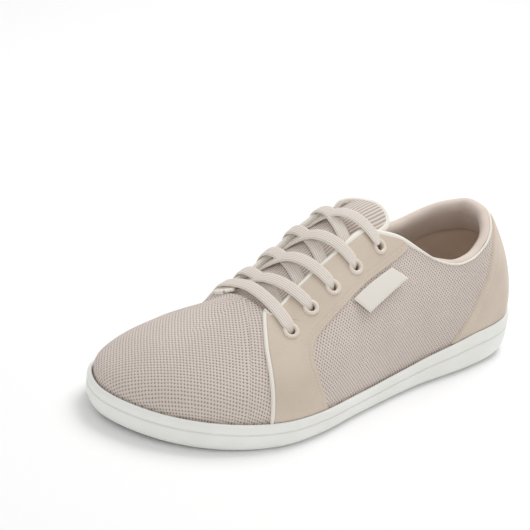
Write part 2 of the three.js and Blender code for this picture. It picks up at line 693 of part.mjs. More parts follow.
// Point and normal at a distance out from that surface
function saddle(x, across, out) {
  const normal = new THREE.Vector3(
    saddleHeight(x + 1, across) - saddleHeight(x - 1, across),
    saddleHeight(x, across + 1) - saddleHeight(x, across - 1),
    2,
  ).normalize();
  return { point: place(x, across, saddleHeight(x, across)).addScaledVector(normal, out), normal };
}

// Distance that a cutting block reaches out from the last and in from it
const REGION_REACH = 6;

// How far across the rim of the opening lies at a distance from the heel
function rimAcross(side, x) {
  const at = (up) => lastBare(turnAtDistance(side, up, x), up);
  return middle.y - at(reach(0.05, 0.999, (up) => inOpening(at(up)))).y;
}

const EYELET_SPOTS = [OUTER, INNER].flatMap((side) => EYELETS.map((row, i) => {
  const x = (side === OUTER ? row.outer : row.inner) * SOLE_LENGTH;
  const across = rimAcross(side, x) + side * EYELET_INSET * row.inset;
  const spot = draped(x, across);
  return { side, number: i + 1, x, across, ...spot, normal: lastNormal(spot.turn, spot.up) };
}));

const toNormal = (normal) => new THREE.Quaternion().setFromUnitVectors(new THREE.Vector3(0, 0, 1), normal);

// Round holes under the eyelets
function makeEyeletHoles() {
  return EYELET_SPOTS.map((spot) => {
    const radius = EYELET_BORE + EYELET_SHANK + GAP;
    const geometry = new THREE.CylinderGeometry(radius, radius, 2 * REGION_REACH, HOLE_SIDES);
    geometry.rotateX(Math.PI / 2).applyQuaternion(toNormal(spot.normal));
    const centre = last(spot.turn, spot.up);
    geometry.translate(centre.x, centre.y, centre.z);
    return solidFromGeometry(geometry);
  });
}

function makeEyelet(spot) {
  const seat = OVERLAY + 3 * GAP;
  const depth = seat + UPPER_WALL - GAP;
  const shank = EYELET_BORE + EYELET_SHANK;
  const profile = [
    [EYELET_BORE, -depth], [shank, -depth], [shank, 0],
    [EYELET_OUTER, EYELET_FLANGE / 2], [EYELET_BORE, EYELET_FLANGE], [EYELET_BORE, -depth],
  ].map(([r, z]) => new THREE.Vector2(r, z));
  const geometry = new THREE.LatheGeometry(profile, HOLE_SIDES);
  geometry.rotateX(Math.PI / 2).applyQuaternion(toNormal(spot.normal));
  const centre = last(spot.turn, spot.up, seat);
  geometry.translate(centre.x, centre.y, centre.z);
  return solidFromGeometry(geometry);
}

const EYESTAY_CORNER = cornerRow / (EYESTAY.length - 1);
const eyestayCurves = ['front', 'frontUp', 'rear', 'rearUp', 'back'].map((name) => {
  const rows = EYESTAY.map((row, i) => {
    const share = i / (EYESTAY.length - 1);
    if (name !== 'frontUp' || row.frontUp < 1) return { share, value: row[name] };
    return { share, value: rimUp(turnAt(OUTER, row.front)) };
  });
  return curve(rows, 'share', 'value');
});

// Block through the wall with the outline of a panel, given by its two edges at each share up the panel
function makeRegion(rows, columns, edges) {
  const grid = (out) => Array.from({ length: rows + 1 }, (_, i) => {
    const { frontTurn, frontUp, rearTurn, rearUp } = edges(i / rows);
    return Array.from({ length: columns + 1 }, (__, j) => {
      const t = j / columns;
      return last(lerp(frontTurn, rearTurn, t), lerp(frontUp, rearUp, t), out);
    });
  });
  return slab(grid(REGION_REACH), grid(-REGION_REACH));
}

// Eyestay: a panel laid over the wall, from the sole along the throat to the collar
function makeEyestay(side, overlay, holes) {
  const [front, frontUp, rear, rearUp, back] = eyestayCurves;
  const region = makeRegion(18, 2, (share) => {
    const shift = side === INNER ? back(share) : 0;
    const frontTurn = turnAt(side, front(share) - shift);
    const pastRim = share >= EYESTAY_CORNER ? Math.min(rimUp(frontTurn) + 0.03, 0.95) : frontUp(share);
    const rearTurn = turnAt(side, rear(share) - shift);
    return { frontTurn, frontUp: pastRim, rearTurn, rearUp: rearUp(share) };
  });
  return holes.reduce((left, hole) => left.subtract(hole), overlay.intersect(region));
}

function makeCounter(overlay) {
  const seam = curve(COUNTER, 'up', 'along');
  const low = COUNTER[0].up;
  const high = COUNTER[COUNTER.length - 1].up;
  return overlay.intersect(makeRegion(5, 10, (share) => {
    const up = lerp(low, high, share);
    return { frontTurn: turnAt(OUTER, seam(up)), frontUp: up, rearTurn: turnAt(INNER, seam(up)), rearUp: up };
  }));
}

// Places on the rim at the wall's own columns, from the outer side round the heel to the inner side
const rimColumns = [
  ...Array.from({ length: HALF }, (_, j) => HALF - j),
  ...Array.from({ length: HALF + 1 }, (_, j) => mirrorColumn(j)),
];

// Stretch of the rim on one side between two shares of the length, or all round the heel
function rimPath(sides, from, to) {
  return rimColumns.map((column, i) => ({ side: i < HALF ? OUTER : INNER, column }))
    .filter(({ side, column }) => (sides === 'both' || sides === side)
      && columnShare[column] >= Math.min(from, to) && columnShare[column] <= Math.max(from, to))
    .map(({ column }) => ({ turn: columnTurns[column], up: columnRims[column] }));
}

// Direction up the wall at a place on the last, with the distance that a full share up would cover
function risingAt(turn, up) {
  const step = 0.01;
  const rising = lastBare(turn, up + step).sub(lastBare(turn, up - step));
  const rate = rising.length() / (2 * step);
  return { rising: rising.normalize(), rate };
}

// Padded collar: a rounded section that follows the inside of the rim and rolls over it
function makeCollar() {
  const path = rimPath('both', 0, COLLAR_FRONT);
  return sweep(path.map(({ turn, up }, i) => {
    const { rising, rate } = risingAt(turn, up);
    const fromEnd = Math.min(Math.min(i, path.length - 1 - i) / COLLAR_TAPER, 1);
    const pad = COLLAR_PAD * lerp(COLLAR_THIN_END, 1, fromEnd);
    return COLLAR_SECTION.map((row) => {
      const level = up + Math.min(row.height, 0) * COLLAR_DEPTH / rate;
      const point = last(turn, level, -UPPER_WALL - COLLAR_CLEARANCE - pad * row.depth);
      return point.addScaledVector(rising, Math.max(row.height, 0) * COLLAR_DEPTH);
    });
  }));
}

// Piping that sits on the cut edge of the wall
function makeRimPiping(sides, from, to) {
  const path = rimPath(sides, from, to);
  const points = path.map(({ turn, up }) => (
    last(turn, up, -UPPER_WALL / 2).addScaledVector(risingAt(turn, up).rising, PIPING_RADIUS + GAP)
  ));
  return cord(points, path.map(({ turn, up }) => lastNormal(turn, up)), PIPING_RADIUS);
}

// Piping in front of the eyestay strip, from the sole to the corner of the throat
function makeStripPiping(side) {
  const steps = 9;
  const [front, frontUp, , , back] = eyestayCurves;
  const path = Array.from({ length: steps + 1 }, (_, i) => {
    const share = lerp(0.01, EYESTAY_CORNER * 0.97, i / steps);
    const shift = side === INNER ? back(share) : 0;
    return { turn: turnAt(side, front(share) - shift), up: Math.max(frontUp(share), 0.03) };
  });
  const ahead = (PIPING_RADIUS + 3 * GAP) * side / outlineLength;
  const points = path.map(({ turn, up }) => last(turn + ahead, up, PIPING_RADIUS + GAP));
  return cord(points, path.map(({ turn, up }) => lastNormal(turn, up)), PIPING_RADIUS);
}

// Tongue: padded sheet under the throat, from beneath the vamp to past the collar
function makeTongue() {
  const half = curve(TONGUE, 'share', 'half');
  const along = curve(TONGUE, 'share', 'along');
  const rise = curve(TONGUE, 'share', 'rise');
  const rows = 11;
  const columns = 6;
  const grid = (out) => Array.from({ length: rows + 1 }, (_, i) => {
    const at = along(i / rows);
    return Array.from({ length: columns + 1 }, (__, j) => {
      const side = 1 - 2 * j / columns;
      const across = crownAcross(at) * BALL_WIDTH + side * half(i / rows) * TONGUE_WIDTH;
      const { point } = saddle(at * SOLE_LENGTH, across, out);
      point.z += rise(i / rows) * TONGUE_RISE * side * side;
      return point;
    });
  });
  return slab(grid(-UPPER_WALL - TONGUE_CLEARANCE), grid(-UPPER_WALL - TONGUE_CLEARANCE - TONGUE_THICKNESS));
}

// One flat strand over the throat, from beside one edge to the eyelet on the other side
function makeStrand(from, to, kind) {
  const height = curve(STRAND, 'share', kind);
  const sections = Array.from({ length: STRAND_STEPS + 1 }, (_, i) => {
    const t = i / STRAND_STEPS;
    const out = lerp(LACE_LOW, LACE_HIGH, height(t));
    return saddle(lerp(from.x, to.x, t), lerp(from.across, to.across, t), out);
  });
  return sweep(sections.map(({ point, normal }, i) => {
    const ahead = sections[Math.min(i + 1, STRAND_STEPS)].point;
    const behind = sections[Math.max(i - 1, 0)].point;
    const tangent = ahead.clone().sub(behind).normalize();
    const sideways = tangent.clone().cross(normal).normalize();
    const upward = sideways.clone().cross(tangent).normalize();
    return LACE_SECTION.map((row) => point.clone()
      .addScaledVector(sideways, row.wide * LACE_WIDTH)
      .addScaledVector(upward, row.thick * LACE_THICKNESS));
  }));
}

const eyeletSpot = (side, number) => EYELET_SPOTS.find((spot) => spot.side === side && spot.number === number);

// Two strands that cross: the one toward the outer side lies on top
function makeCrossing(number) {
  const [over, under] = [OUTER, INNER].map((side) => {
    const end = eyeletSpot(side, number);
    const start = eyeletSpot(-side, number - 1);
    const from = {
      x: lerp(start.x, end.x, STRAND_START.along),
      across: start.across * STRAND_START.across,
    };
    return makeStrand(from, end, side === OUTER ? 'over' : 'under');
  });
  return over.add(under);
}

function makeBar() {
  return makeStrand(eyeletSpot(INNER, 1), eyeletSpot(OUTER, 1), 'bar');
}

// Label tab: a small flat loop that stands out from the seam behind the eyestay
function makeLabel() {
  const rows = 3;
  const columns = 5;
  const [front, back] = LABEL;
  const grid = (out) => Array.from({ length: rows + 1 }, (_, i) => {
    const down = i / rows;
    return Array.from({ length: columns + 1 }, (__, j) => {
      const t = j / columns;
      const along = lerp(lerp(front.along, front.low, down), lerp(back.along, back.low, down), t);
      const up = lerp(lerp(front.up, front.lowUp, down), lerp(back.up, back.lowUp, down), t);
      return last(turnAt(OUTER, along), up, out + GAP + LABEL_LIFT * down);
    });
  });
  return slab(grid(LABEL_THICKNESS), grid(0));
}

function toMesh(name, solid, material) {
  const mesh = solid.getMesh();
  const geometry = new THREE.BufferGeometry();
  geometry.setAttribute('position', new THREE.BufferAttribute(new Float32Array(mesh.vertProperties), 3));
  geometry.setIndex(new THREE.BufferAttribute(new Uint32Array(mesh.triVerts), 1));
  const result = new THREE.Mesh(geometry, material);
  result.name = name;
  return result;
}

const material = (color, roughness) => new THREE.MeshStandardMaterial({ color, roughness, metalness: 0 });

const shoe = new THREE.Group();
shoe.name = 'barefoot_shoe_left';
const put = (name, solid, color, roughness) => shoe.add(toMesh(name, solid, material(color, roughness)));

const holes = makeEyeletHoles();
const overlay = makeShell(GAP + OVERLAY, GAP, false);
put('outsole', makeSoleBody().subtract(makeTreadChannels()), 0xe4e5e0, 0.6);
put('insole', makeInsole(), 0xb9a796, 0.9);
const wall = holes.reduce((left, hole) => left.subtract(hole), makeShell(0, -UPPER_WALL, true));
put('upper', wall, 0xcdc0b7, 0.9);
put('tongue', makeTongue(), 0xcdc0b7, 0.9);
put('eyestay_outer', makeEyestay(OUTER, overlay, holes.slice(0, 5)), 0xc8bbac, 0.8);
put('eyestay_inner', makeEyestay(INNER, overlay, holes.slice(5)), 0xc8bbac, 0.8);
put('heel_counter', makeCounter(overlay), 0xc8bbac, 0.8);
put('collar_padding', makeCollar(), 0xcdbeb2, 0.9);
put('collar_piping', makeRimPiping('both', 0, COLLAR_FRONT), 0xe4ded4, 0.7);
put('throat_piping_outer', makeRimPiping(OUTER, COLLAR_FRONT + 0.01, corner + 0.01), 0xe4ded4, 0.7);
put('throat_piping_inner', makeRimPiping(INNER, COLLAR_FRONT + 0.01, corner + 0.01), 0xe4ded4, 0.7);
put('strip_piping_outer', makeStripPiping(OUTER), 0xe4ded4, 0.7);
put('strip_piping_inner', makeStripPiping(INNER), 0xe4ded4, 0.7);
put('label_tab', makeLabel(), 0xdcd6cb, 0.7);
EYELET_SPOTS.forEach((spot) => {
  const sideName = spot.side === OUTER ? 'outer' : 'inner';
  put(`eyelet_${sideName}_${spot.number}`, makeEyelet(spot), 0xdcd0c2, 0.5);
});
put('lace_bar', makeBar(), 0xded5cb, 0.9);
for (let number = 2; number <= EYELETS.length; number += 1) {
  put(`lace_crossing_${number}`, makeCrossing(number), 0xded5cb, 0.9);
}

export default shoe;
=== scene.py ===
import math

import bpy
import numpy as np
from mathutils import Matrix, Vector


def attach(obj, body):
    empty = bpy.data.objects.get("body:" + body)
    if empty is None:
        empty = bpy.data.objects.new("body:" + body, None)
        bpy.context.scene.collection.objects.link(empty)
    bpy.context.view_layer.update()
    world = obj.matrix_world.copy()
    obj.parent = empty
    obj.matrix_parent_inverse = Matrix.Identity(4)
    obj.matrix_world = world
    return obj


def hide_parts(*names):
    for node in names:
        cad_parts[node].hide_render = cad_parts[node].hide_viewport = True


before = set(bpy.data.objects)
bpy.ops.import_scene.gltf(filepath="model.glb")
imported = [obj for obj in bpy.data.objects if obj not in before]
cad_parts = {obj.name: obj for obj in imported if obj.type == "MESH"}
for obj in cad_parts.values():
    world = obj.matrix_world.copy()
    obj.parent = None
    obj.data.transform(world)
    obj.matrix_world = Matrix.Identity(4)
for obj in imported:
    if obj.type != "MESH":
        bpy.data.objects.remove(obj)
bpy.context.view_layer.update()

MM = 0.001
OUTER, INNER = 1, -1

# Sizes of the shoe, as the solids have them
SOLE_LENGTH = 285.0
BALL_WIDTH = 115.0
SIDEWALL_HEIGHT = 24.0
HEEL_CURL = 9.5
INSTEP_HEIGHT = 114.0
COLLAR_HEIGHT = 90.0
THROAT_WIDTH = 42.0
GAP = 0.3
SOLE_FLOOR = 6.5
LIP_INSET = 3.0
UPPER_WALL = 2.0
OVERLAY = 1.0
TONGUE_THICKNESS = 3.6
TREAD_DEPTH = 2.0
TREAD_BORDER = 8.0
LUG_PITCH = 15.8
LUG_WIDTH = 12.6
RIB_PITCH = 7.4
RIB_WIDTH = 4.4
RIB_WAVE = 31.0
RIB_SWING = 3.5
TOE_BAND = 48.0
HEEL_BAND = 48.0
COLLAR_FRONT = 0.38
EYELET_INSET = 12.0
LACE_WIDTH = 7.0
LACE_THICKNESS = 1.6
LABEL_LENGTH = 34
LABEL_DEPTH = 12
LABEL_THICKNESS = 1.0
LABEL_LIFT = 2.4
THROAT_FRONT = 0.722
FOOTBED_FOLLOW = 0.8
SADDLE_FADE = 0.1
CROWN_START, CROWN_END = 0.14, 0.83

# Sole outline from above, heel back first and round by the outer side: shares of length and of ball width
OUTLINE = [
    (0.000, 0.010), (0.019, 0.237), (0.073, 0.350), (0.190, 0.393), (0.365, 0.397), (0.546, 0.442),
    (0.670, 0.485), (0.765, 0.478), (0.856, 0.393), (0.918, 0.280), (0.969, 0.121), (0.998, -0.091),
    (0.995, -0.240), (0.952, -0.417), (0.893, -0.486), (0.814, -0.514), (0.712, -0.498), (0.596, -0.436),
    (0.492, -0.335), (0.386, -0.302), (0.253, -0.327), (0.144, -0.323), (0.073, -0.264), (0.011, -0.117),
]
# Along the sole: lift of the underside as a share of the heel curl, sidewall as a share of its height
SOLE_SIDE = [
    (0.00, 1.000, 0.80), (0.05, 0.430, 0.88), (0.10, 0.150, 0.95), (0.17, 0.000, 0.97), (0.28, 0.000, 0.83),
    (0.42, 0.000, 0.66), (0.55, 0.000, 0.60), (0.70, 0.000, 0.63), (0.80, 0.000, 0.66), (0.90, 0.090, 0.68),
    (1.00, 0.340, 0.66),
]
# Along the last: crown as a share of the instep, how square each section is in width and in height,
# and how much more pointed its inner half is
LAST = [
    (0.00, 0.982, 2.25, 1.00, 1.00), (0.12, 1.000, 1.60, 1.00, 1.00), (0.25, 1.000, 1.48, 1.00, 0.88),
    (0.38, 0.956, 1.40, 1.00, 0.68), (0.50, 0.873, 1.15, 1.00, 0.76), (0.60, 0.728, 1.00, 1.00, 1.22),
    (0.70, 0.579, 0.95, 0.95, 1.62), (0.80, 0.465, 0.90, 0.90, 1.60), (0.90, 0.381, 0.82, 0.85, 1.22),
    (1.00, 0.298, 0.75, 0.80, 1.00),
]
CROWN_LINE = [(0.00, 0.026), (0.30, 0.026), (0.50, 0.009), (0.75, -0.013), (1.00, -0.078)]
# Top line of the collar, share of the collar height
TOP_LINE = [
    (0.00, 1.000), (0.05, 0.988), (0.10, 0.915), (0.15, 0.817), (0.20, 0.757), (0.24, 0.747), (0.30, 0.796),
    (0.35, 0.884), (0.40, 0.975), (0.46, 1.034), (0.52, 1.099), (0.60, 1.338),
]
# Half opening of the throat on its outer and inner side, shares of the throat width
THROAT = [
    (0.40, 0.36, 0.30), (0.48, 0.37, 0.34), (0.54, 0.41, 0.42), (0.60, 0.42, 0.46), (0.65, 0.44, 0.49),
    (0.70, 0.49, 0.54), (0.76, 0.56, 0.62),
]
# Eyestay from the sole up to the collar: front edge (share round the last, share up it), rear edge likewise,
# and how much further back the inner one lies. A front place with up 2 follows the rim of the throat.
EYESTAY = [
    (0.794, 0.000, 0.656, 0.000, 0.055), (0.796, 0.200, 0.670, 0.100, 0.055),
    (0.800, 0.400, 0.688, 0.230, 0.050),
    (0.804, 0.570, 0.698, 0.350, 0.040), (0.803, 0.670, 0.692, 0.430, 0.020), (0.795, 2, 0.665, 0.470, 0),
    (0.740, 2, 0.610, 0.488, 0), (0.670, 2, 0.560, 0.492, 0), (0.600, 2, 0.510, 0.490, 0),
    (0.540, 2, 0.460, 0.486, 0), (0.490, 2, 0.420, 0.486, 0), (0.440, 2, 0.385, 0.495, 0),
    (0.380, 2, 0.372, 0.505, 0),
]
EYESTAY_CORNER = 5
# Heel counter: share up the last, how far forward its seam lies
COUNTER = [
    (0.000, 0.265), (0.065, 0.224), (0.140, 0.190), (0.215, 0.153), (0.300, 0.121), (0.370, 0.088),
    (0.420, 0.052), (0.445, 0.022),
]
# Eyelets: share of the length on the outer and the inner side, and distance from the throat's edge
# as a share of the inset
EYELETS = [
    (0.710, 0.694, 1.03), (0.654, 0.646, 0.96), (0.596, 0.593, 0.89), (0.534, 0.541, 0.76),
    (0.461, 0.492, 0.45),
]
# Label corners: share round the last and up it, along the seam and then along its free edge
LABEL = [(0.570, 0.478, 0.536, 0.362), (0.440, 0.470, 0.404, 0.388)]


def curve(rows, column=1):
    """Smooth curve through one column of a table that never overshoots it."""
    x = np.array([row[0] for row in rows], float)
    y = np.array([row[column] for row in rows], float)
    step = np.diff(x)
    rise = np.diff(y) / step
    slope = np.zeros(len(x))
    slope[0], slope[-1] = rise[0], rise[-1]
    for i in range(1, len(x) - 1):
        if rise[i - 1] * rise[i] > 0:
            before, after = 2 * step[i] + step[i - 1], step[i] + 2 * step[i - 1]
            slope[i] = (before + after) / (before / rise[i - 1] + after / rise[i])

    def at(value):
        value = np.asarray(value, float)
        i = np.clip(np.searchsorted(x, value, side="right") - 1, 0, len(step) - 1)
        t = np.clip((value - x[i]) / step[i], 0, 1)
        keep = (1 + 2 * t) * (1 - t) ** 2 * y[i] + t * t * (3 - 2 * t) * y[i + 1]
        return keep + step[i] * (t * (1 - t) ** 2 * slope[i] - t * t * (1 - t) * slope[i + 1])

    return at


def mix(a, b, t):
    return a + (b - a) * t


def ease(low, high, value):
    t = np.clip((value - low) / (high - low), 0, 1)
    return t * t * (3 - 2 * t)


def unit(vectors):
    return vectors / np.maximum(np.linalg.norm(vectors, axis=-1, keepdims=True), 1e-9)


corners = np.array(OUTLINE) * (SOLE_LENGTH, BALL_WIDTH)


def outline_point(turn):
    """Closed centripetal curve through the corners of the outline."""
    count = len(corners)
    spot = (np.asarray(turn, float) % 1.0) * count
    i = np.floor(spot).astype(int)
    w = (spot - i)[..., None]
    p0, p1, p2, p3 = (corners[(i + k) % count] for k in (-1, 0, 1, 2))
    pairs = ((p0, p1), (p1, p2), (p2, p3))
    d0, d1, d2 = (np.linalg.norm(b - a, axis=-1, keepdims=True) ** 0.5 for a, b in pairs)
    m1 = ((p1 - p0) / d0 - (p2 - p0) / (d0 + d1) + (p2 - p1) / d1) * d1
    m2 = ((p2 - p1) / d1 - (p3 - p1) / (d1 + d2) + (p3 - p2) / d2) * d1
    return p1 + m1 * w + (3 * (p2 - p1) - 2 * m1 - m2) * w ** 2 + (2 * (p1 - p2) + m1 + m2) * w ** 3


OUTLINE_STEPS = 24 * len(OUTLINE)
samples = outline_point(np.arange(OUTLINE_STEPS) / OUTLINE_STEPS)
outline_low, outline_high = samples.min(0), samples.max(0)
middle = (outline_low + outline_high) / 2
heel_step = int(samples[:, 0].argmin())
HEEL_TURN = (heel_step - (OUTLINE_STEPS if heel_step > OUTLINE_STEPS / 2 else 0)) / OUTLINE_STEPS
TOE_TURN = int(samples[:, 0].argmax()) / OUTLINE_STEPS
outline_length = np.linalg.norm(np.diff(samples, axis=0), axis=1).sum()

lift = curve(SOLE_SIDE, 1)
side_share = curve(SOLE_SIDE, 2)
crown = curve(LAST, 1)
wide = curve(LAST, 2)
tall = curve(LAST, 3)
inner_wide = curve(LAST, 4)
crown_across = curve(CROWN_LINE)
top_line = curve(TOP_LINE)
throat_outer = curve(THROAT, 1)
throat_inner = curve(THROAT, 2)


def underside(along):
    return HEEL_CURL * lift(along)


def feather(along):
    return underside(along) + SIDEWALL_HEIGHT * side_share(along)


def footbed(along):
    return SOLE_FLOOR + FOOTBED_FOLLOW * underside(along)


def footprint(turn, inset=0.0):
    point = outline_point(turn)
    tangent = unit(outline_point(np.asarray(turn) + 0.002) - outline_point(np.asarray(turn) - 0.002))
    return point + np.stack([tangent[..., 1], -tangent[..., 0]], -1) * np.asarray(inset, float)[..., None]


def side_end(side):
    return TOE_TURN if side == OUTER else TOE_TURN - 1


side_tables = {}
for each_side in (OUTER, INNER):
    turns = np.linspace(HEEL_TURN, side_end(each_side), 3001)
    side_tables[each_side] = (outline_point(turns)[:, 0], turns)


def turn_at(side, along):
    """Turn round the outline at a share of the length, on one side."""
    x, turns = side_tables[side]
    return np.interp(mix(outline_low[0], outline_high[0], np.asarray(along, float)), x, turns)


def place(x, across, z):
    return np.stack(np.broadcast_arrays(middle[0] - x, middle[1] - across, z), -1)


def last_bare(turn, up):
    turn, up = np.broadcast_arrays(np.asarray(turn, float), np.asarray(up, float))
    foot = footprint(turn, LIP_INSET)
    along = np.clip(foot[..., 0] / SOLE_LENGTH, 0, 1)
    spine = mix(CROWN_START, CROWN_END, along)
    angle = up * math.pi / 2
    is_inner = (turn - HEEL_TURN) % 1 > TOE_TURN - HEEL_TURN
    square = wide(along) * np.where(is_inner, inner_wide(along), 1)
    inward = 1 - np.maximum(np.cos(angle), 0) ** square
    x = mix(foot[..., 0], spine * SOLE_LENGTH, inward)
    across = mix(foot[..., 1], crown_across(spine) * BALL_WIDTH, inward)
    low = feather(along)
    top = INSTEP_HEIGHT * crown(x / SOLE_LENGTH)
    return place(x, across, low + (top - low) * np.maximum(np.sin(angle), 0) ** tall(along))


def last_normal(turn, up):
    d, near_crown = 0.004, 0.96
    turn, up = np.broadcast_arrays(np.asarray(turn, float), np.asarray(up, float))
    high = np.minimum(up, near_crown)
    around = last_bare(turn + d, high) - last_bare(turn - d, high)
    rising = last_bare(turn, high + d) - last_bare(turn, np.maximum(high - d, 0))
    normal = unit(np.cross(rising, around))
    share = (middle[0] - last_bare(turn, np.ones_like(up))[..., 0]) / SOLE_LENGTH
    slope = INSTEP_HEIGHT * (crown(share + d) - crown(share - d)) / (2 * d * SOLE_LENGTH)
    top = unit(np.stack([slope, np.zeros_like(slope), np.ones_like(slope)], -1))
    keep = np.clip((1 - up) / (1 - near_crown), 0, 1)[..., None]
    return unit(mix(top, normal, keep))


def last(turn, up, out=0.0):
    return last_bare(turn, up) + last_normal(turn, up) * np.asarray(out, float)[..., None]


def is_open(point):
    """Whether a point of the last lies in the opening of the collar and throat."""
    along = (middle[0] - point[..., 0]) / SOLE_LENGTH
    above = (along < TOP_LINE[-1][0]) & (point[..., 2] > COLLAR_HEIGHT * top_line(along))
    out = middle[1] - point[..., 1] - crown_across(along) * BALL_WIDTH
    share = np.where(out > 0, throat_outer(along), throat_inner(along))
    half = np.where(along > THROAT[0][0], THROAT_WIDTH * share, 0)
    return above | ((along < THROAT_FRONT) & (np.abs(out) < half))


def rim_up(turn):
    """Share up the last at which a turn meets the rim of the opening, 1 where it doesn't."""
    turn = np.atleast_1d(np.asarray(turn, float))
    levels = np.linspace(0.1, 0.998, 226)
    inside = is_open(last_bare(turn[:, None], levels[None, :]))
    first = inside.argmax(1)
    low, high = levels[np.maximum(first - 1, 0)], levels[first]
    for _ in range(22):
        half = (low + high) / 2
        inner = is_open(last_bare(turn, half))
        low, high = np.where(inner, low, half), np.where(inner, half, high)
    return np.where(inside.any(1), (low + high) / 2, 1.0)


# Places on the last above points seen from above, found by bisection
def turn_at_distance(side, up, x):
    low = np.full(np.shape(x), HEEL_TURN)
    high = np.full(np.shape(x), side_end(side))
    for _ in range(26):
        half = (low + high) / 2
        before = middle[0] - last_bare(half, up)[..., 0] < x
        low, high = np.where(before, half, low), np.where(before, high, half)
    return (low + high) / 2


def draped(side, x, across):
    x, across = np.broadcast_arrays(np.asarray(x, float), np.asarray(across, float))
    low, high = np.full(x.shape, 0.05), np.full(x.shape, 0.999)
    for _ in range(24):
        half = (low + high) / 2
        p = last_bare(turn_at_distance(side, half, x), half)
        before = side * (across - (middle[1] - p[..., 1])) < 0
        low, high = np.where(before, half, low), np.where(before, high, half)
    up = (low + high) / 2
    return turn_at_distance(side, up, x), up


# The inner side falls away past the edge of the throat, to this depth
FALL = 5.0
FALL_TURNS = np.linspace(TOE_TURN - 1, HEEL_TURN, 900)
fall_rims = rim_up(FALL_TURNS)
fall_rims = np.where(fall_rims > 0.995, 0.80, fall_rims)


def inner_fall(turn, up, share):
    back = (np.asarray(turn, float) - HEEL_TURN) % 1.0 - 1 + HEEL_TURN
    below = np.interp(back, FALL_TURNS, fall_rims) - np.asarray(up, float)
    across = ease(-0.02, 0.16, below) * (1 - ease(0.22, 0.55, below))
    return -FALL * across * ease(0.40, 0.50, share) * (1 - ease(0.76, 0.84, share))


# Heights of the last over a grid seen from above, so that a place on it is found at once
GRID_X = np.arange(70.0, 226.0, 1.0)
GRID_ACROSS = np.arange(-46.0, 60.0, 0.5)


def height_grid():
    levels = np.sin(np.linspace(0.03, 0.9995, 160) * math.pi / 2)
    centre = crown_across(GRID_X / SOLE_LENGTH) * BALL_WIDTH
    heights = np.zeros((len(GRID_X), len(GRID_ACROSS)))
    x, up = np.meshgrid(GRID_X, levels, indexing="ij")
    for side in (OUTER, INNER):
        turn = turn_at_distance(side, up, x)
        p = last(turn, up, inner_fall(turn, up, x / SOLE_LENGTH) if side == INNER else 0)
        across = middle[1] - p[..., 1]
        for i in range(len(GRID_X)):
            order = np.argsort(across[i])
            row = np.interp(GRID_ACROSS, across[i][order], p[i, order, 2])
            mine = side * (GRID_ACROSS - centre[i]) >= 0
            heights[i] = np.where(mine, row, heights[i])
    return heights


HEIGHTS = height_grid()


def own_height(x, across):
    i = np.clip((x - GRID_X[0]) / (GRID_X[1] - GRID_X[0]), 0, len(GRID_X) - 1.001)
    j = np.clip((across - GRID_ACROSS[0]) / (GRID_ACROSS[1] - GRID_ACROSS[0]), 0, len(GRID_ACROSS) - 1.001)
    a, b = i.astype(int), j.astype(int)
    u, v = i - a, j - b
    front = (1 - v) * HEIGHTS[a, b] + v * HEIGHTS[a, b + 1]
    return (1 - u) * front + u * ((1 - v) * HEIGHTS[a + 1, b] + v * HEIGHTS[a + 1, b + 1])


def saddle_height(x, across):
    """Surface under the lace: the last, rounded over between the two edges of the throat."""
    x, across = np.broadcast_arrays(np.asarray(x, float), np.asarray(across, float))
    along = x / SOLE_LENGTH
    own = own_height(x, across)
    crown_line = crown_across(along) * BALL_WIDTH
    low = crown_line - THROAT_WIDTH * throat_inner(along)
    high = crown_line + THROAT_WIDTH * throat_outer(along)
    t = 2 * (across - low) / (high - low) - 1
    left, right = own_height(x, low), own_height(x, high)
    rounded = mix(left, right, (t + 1) / 2)
    rounded = rounded + (INSTEP_HEIGHT * crown(along) - (left + right) / 2) * (1 - t * t)
    share = np.minimum((THROAT_FRONT - along) / SADDLE_FADE, 1)
    return np.where((np.abs(t) >= 1) | (along > THROAT_FRONT), own, mix(own, rounded, share))


def saddle(x, across):
    slope_x = saddle_height(x + 1, across) - saddle_height(x - 1, across)
    slope_y = saddle_height(x, across + 1) - saddle_height(x, across - 1)
    normal = unit(np.stack([slope_x, slope_y, np.full_like(slope_x, 2.0)], -1))
    return place(x, across, saddle_height(x, across)), normal


# Making of meshes
def grid_faces(rows, columns, closed_rows=False, closed_columns=False, start=0):
    i, j = np.meshgrid(
        np.arange(rows if closed_rows else rows - 1), np.arange(columns if closed_columns else columns - 1),
        indexing="ij")
    down, right = (i + 1) % rows, (j + 1) % columns
    quads = np.stack([i * columns + j, i * columns + right, down * columns + right, down * columns + j], -1)
    return (quads.reshape(-1, 4) + start).tolist()


def piece(name, points, faces, materials, slot, replaces=(), uv=None, face_materials=None):
    """Mesh object from points in millimetres, with smooth faces that point out."""
    mesh = bpy.data.meshes.new(name)
    mesh.from_pydata((np.asarray(points).reshape(-1, 3) * MM).tolist(), [], faces)
    for item in materials:
        mesh.materials.append(item)
    if uv is not None:
        flat = np.asarray(uv, float).reshape(-1, 2)
        loops = np.empty(len(mesh.loops), int)
        mesh.loops.foreach_get("vertex_index", loops)
        mesh.uv_layers.new(name="UVMap").data.foreach_set("uv", flat[loops].ravel())
    if face_materials is not None:
        mesh.polygons.foreach_set("material_index", face_materials)
    mesh.polygons.foreach_set("use_smooth", [True] * len(mesh.polygons))
    mesh.validate()
    mesh.update()
    thing = bpy.data.objects.new(name, mesh)
    bpy.context.collection.objects.link(thing)
    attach(thing, "root")
    if replaces:
        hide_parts(*replaces)
    return thing


def run_along(points):
    """Distance along a line of points."""
    return np.concatenate([[0], np.cumsum(np.linalg.norm(np.diff(points, axis=0), axis=1))])


def read_off(at, run, rows):
    """Rows of numbers read off at places along their run."""
    return np.stack([np.interp(at, run, rows[:, k]) for k in range(rows.shape[1])], -1)


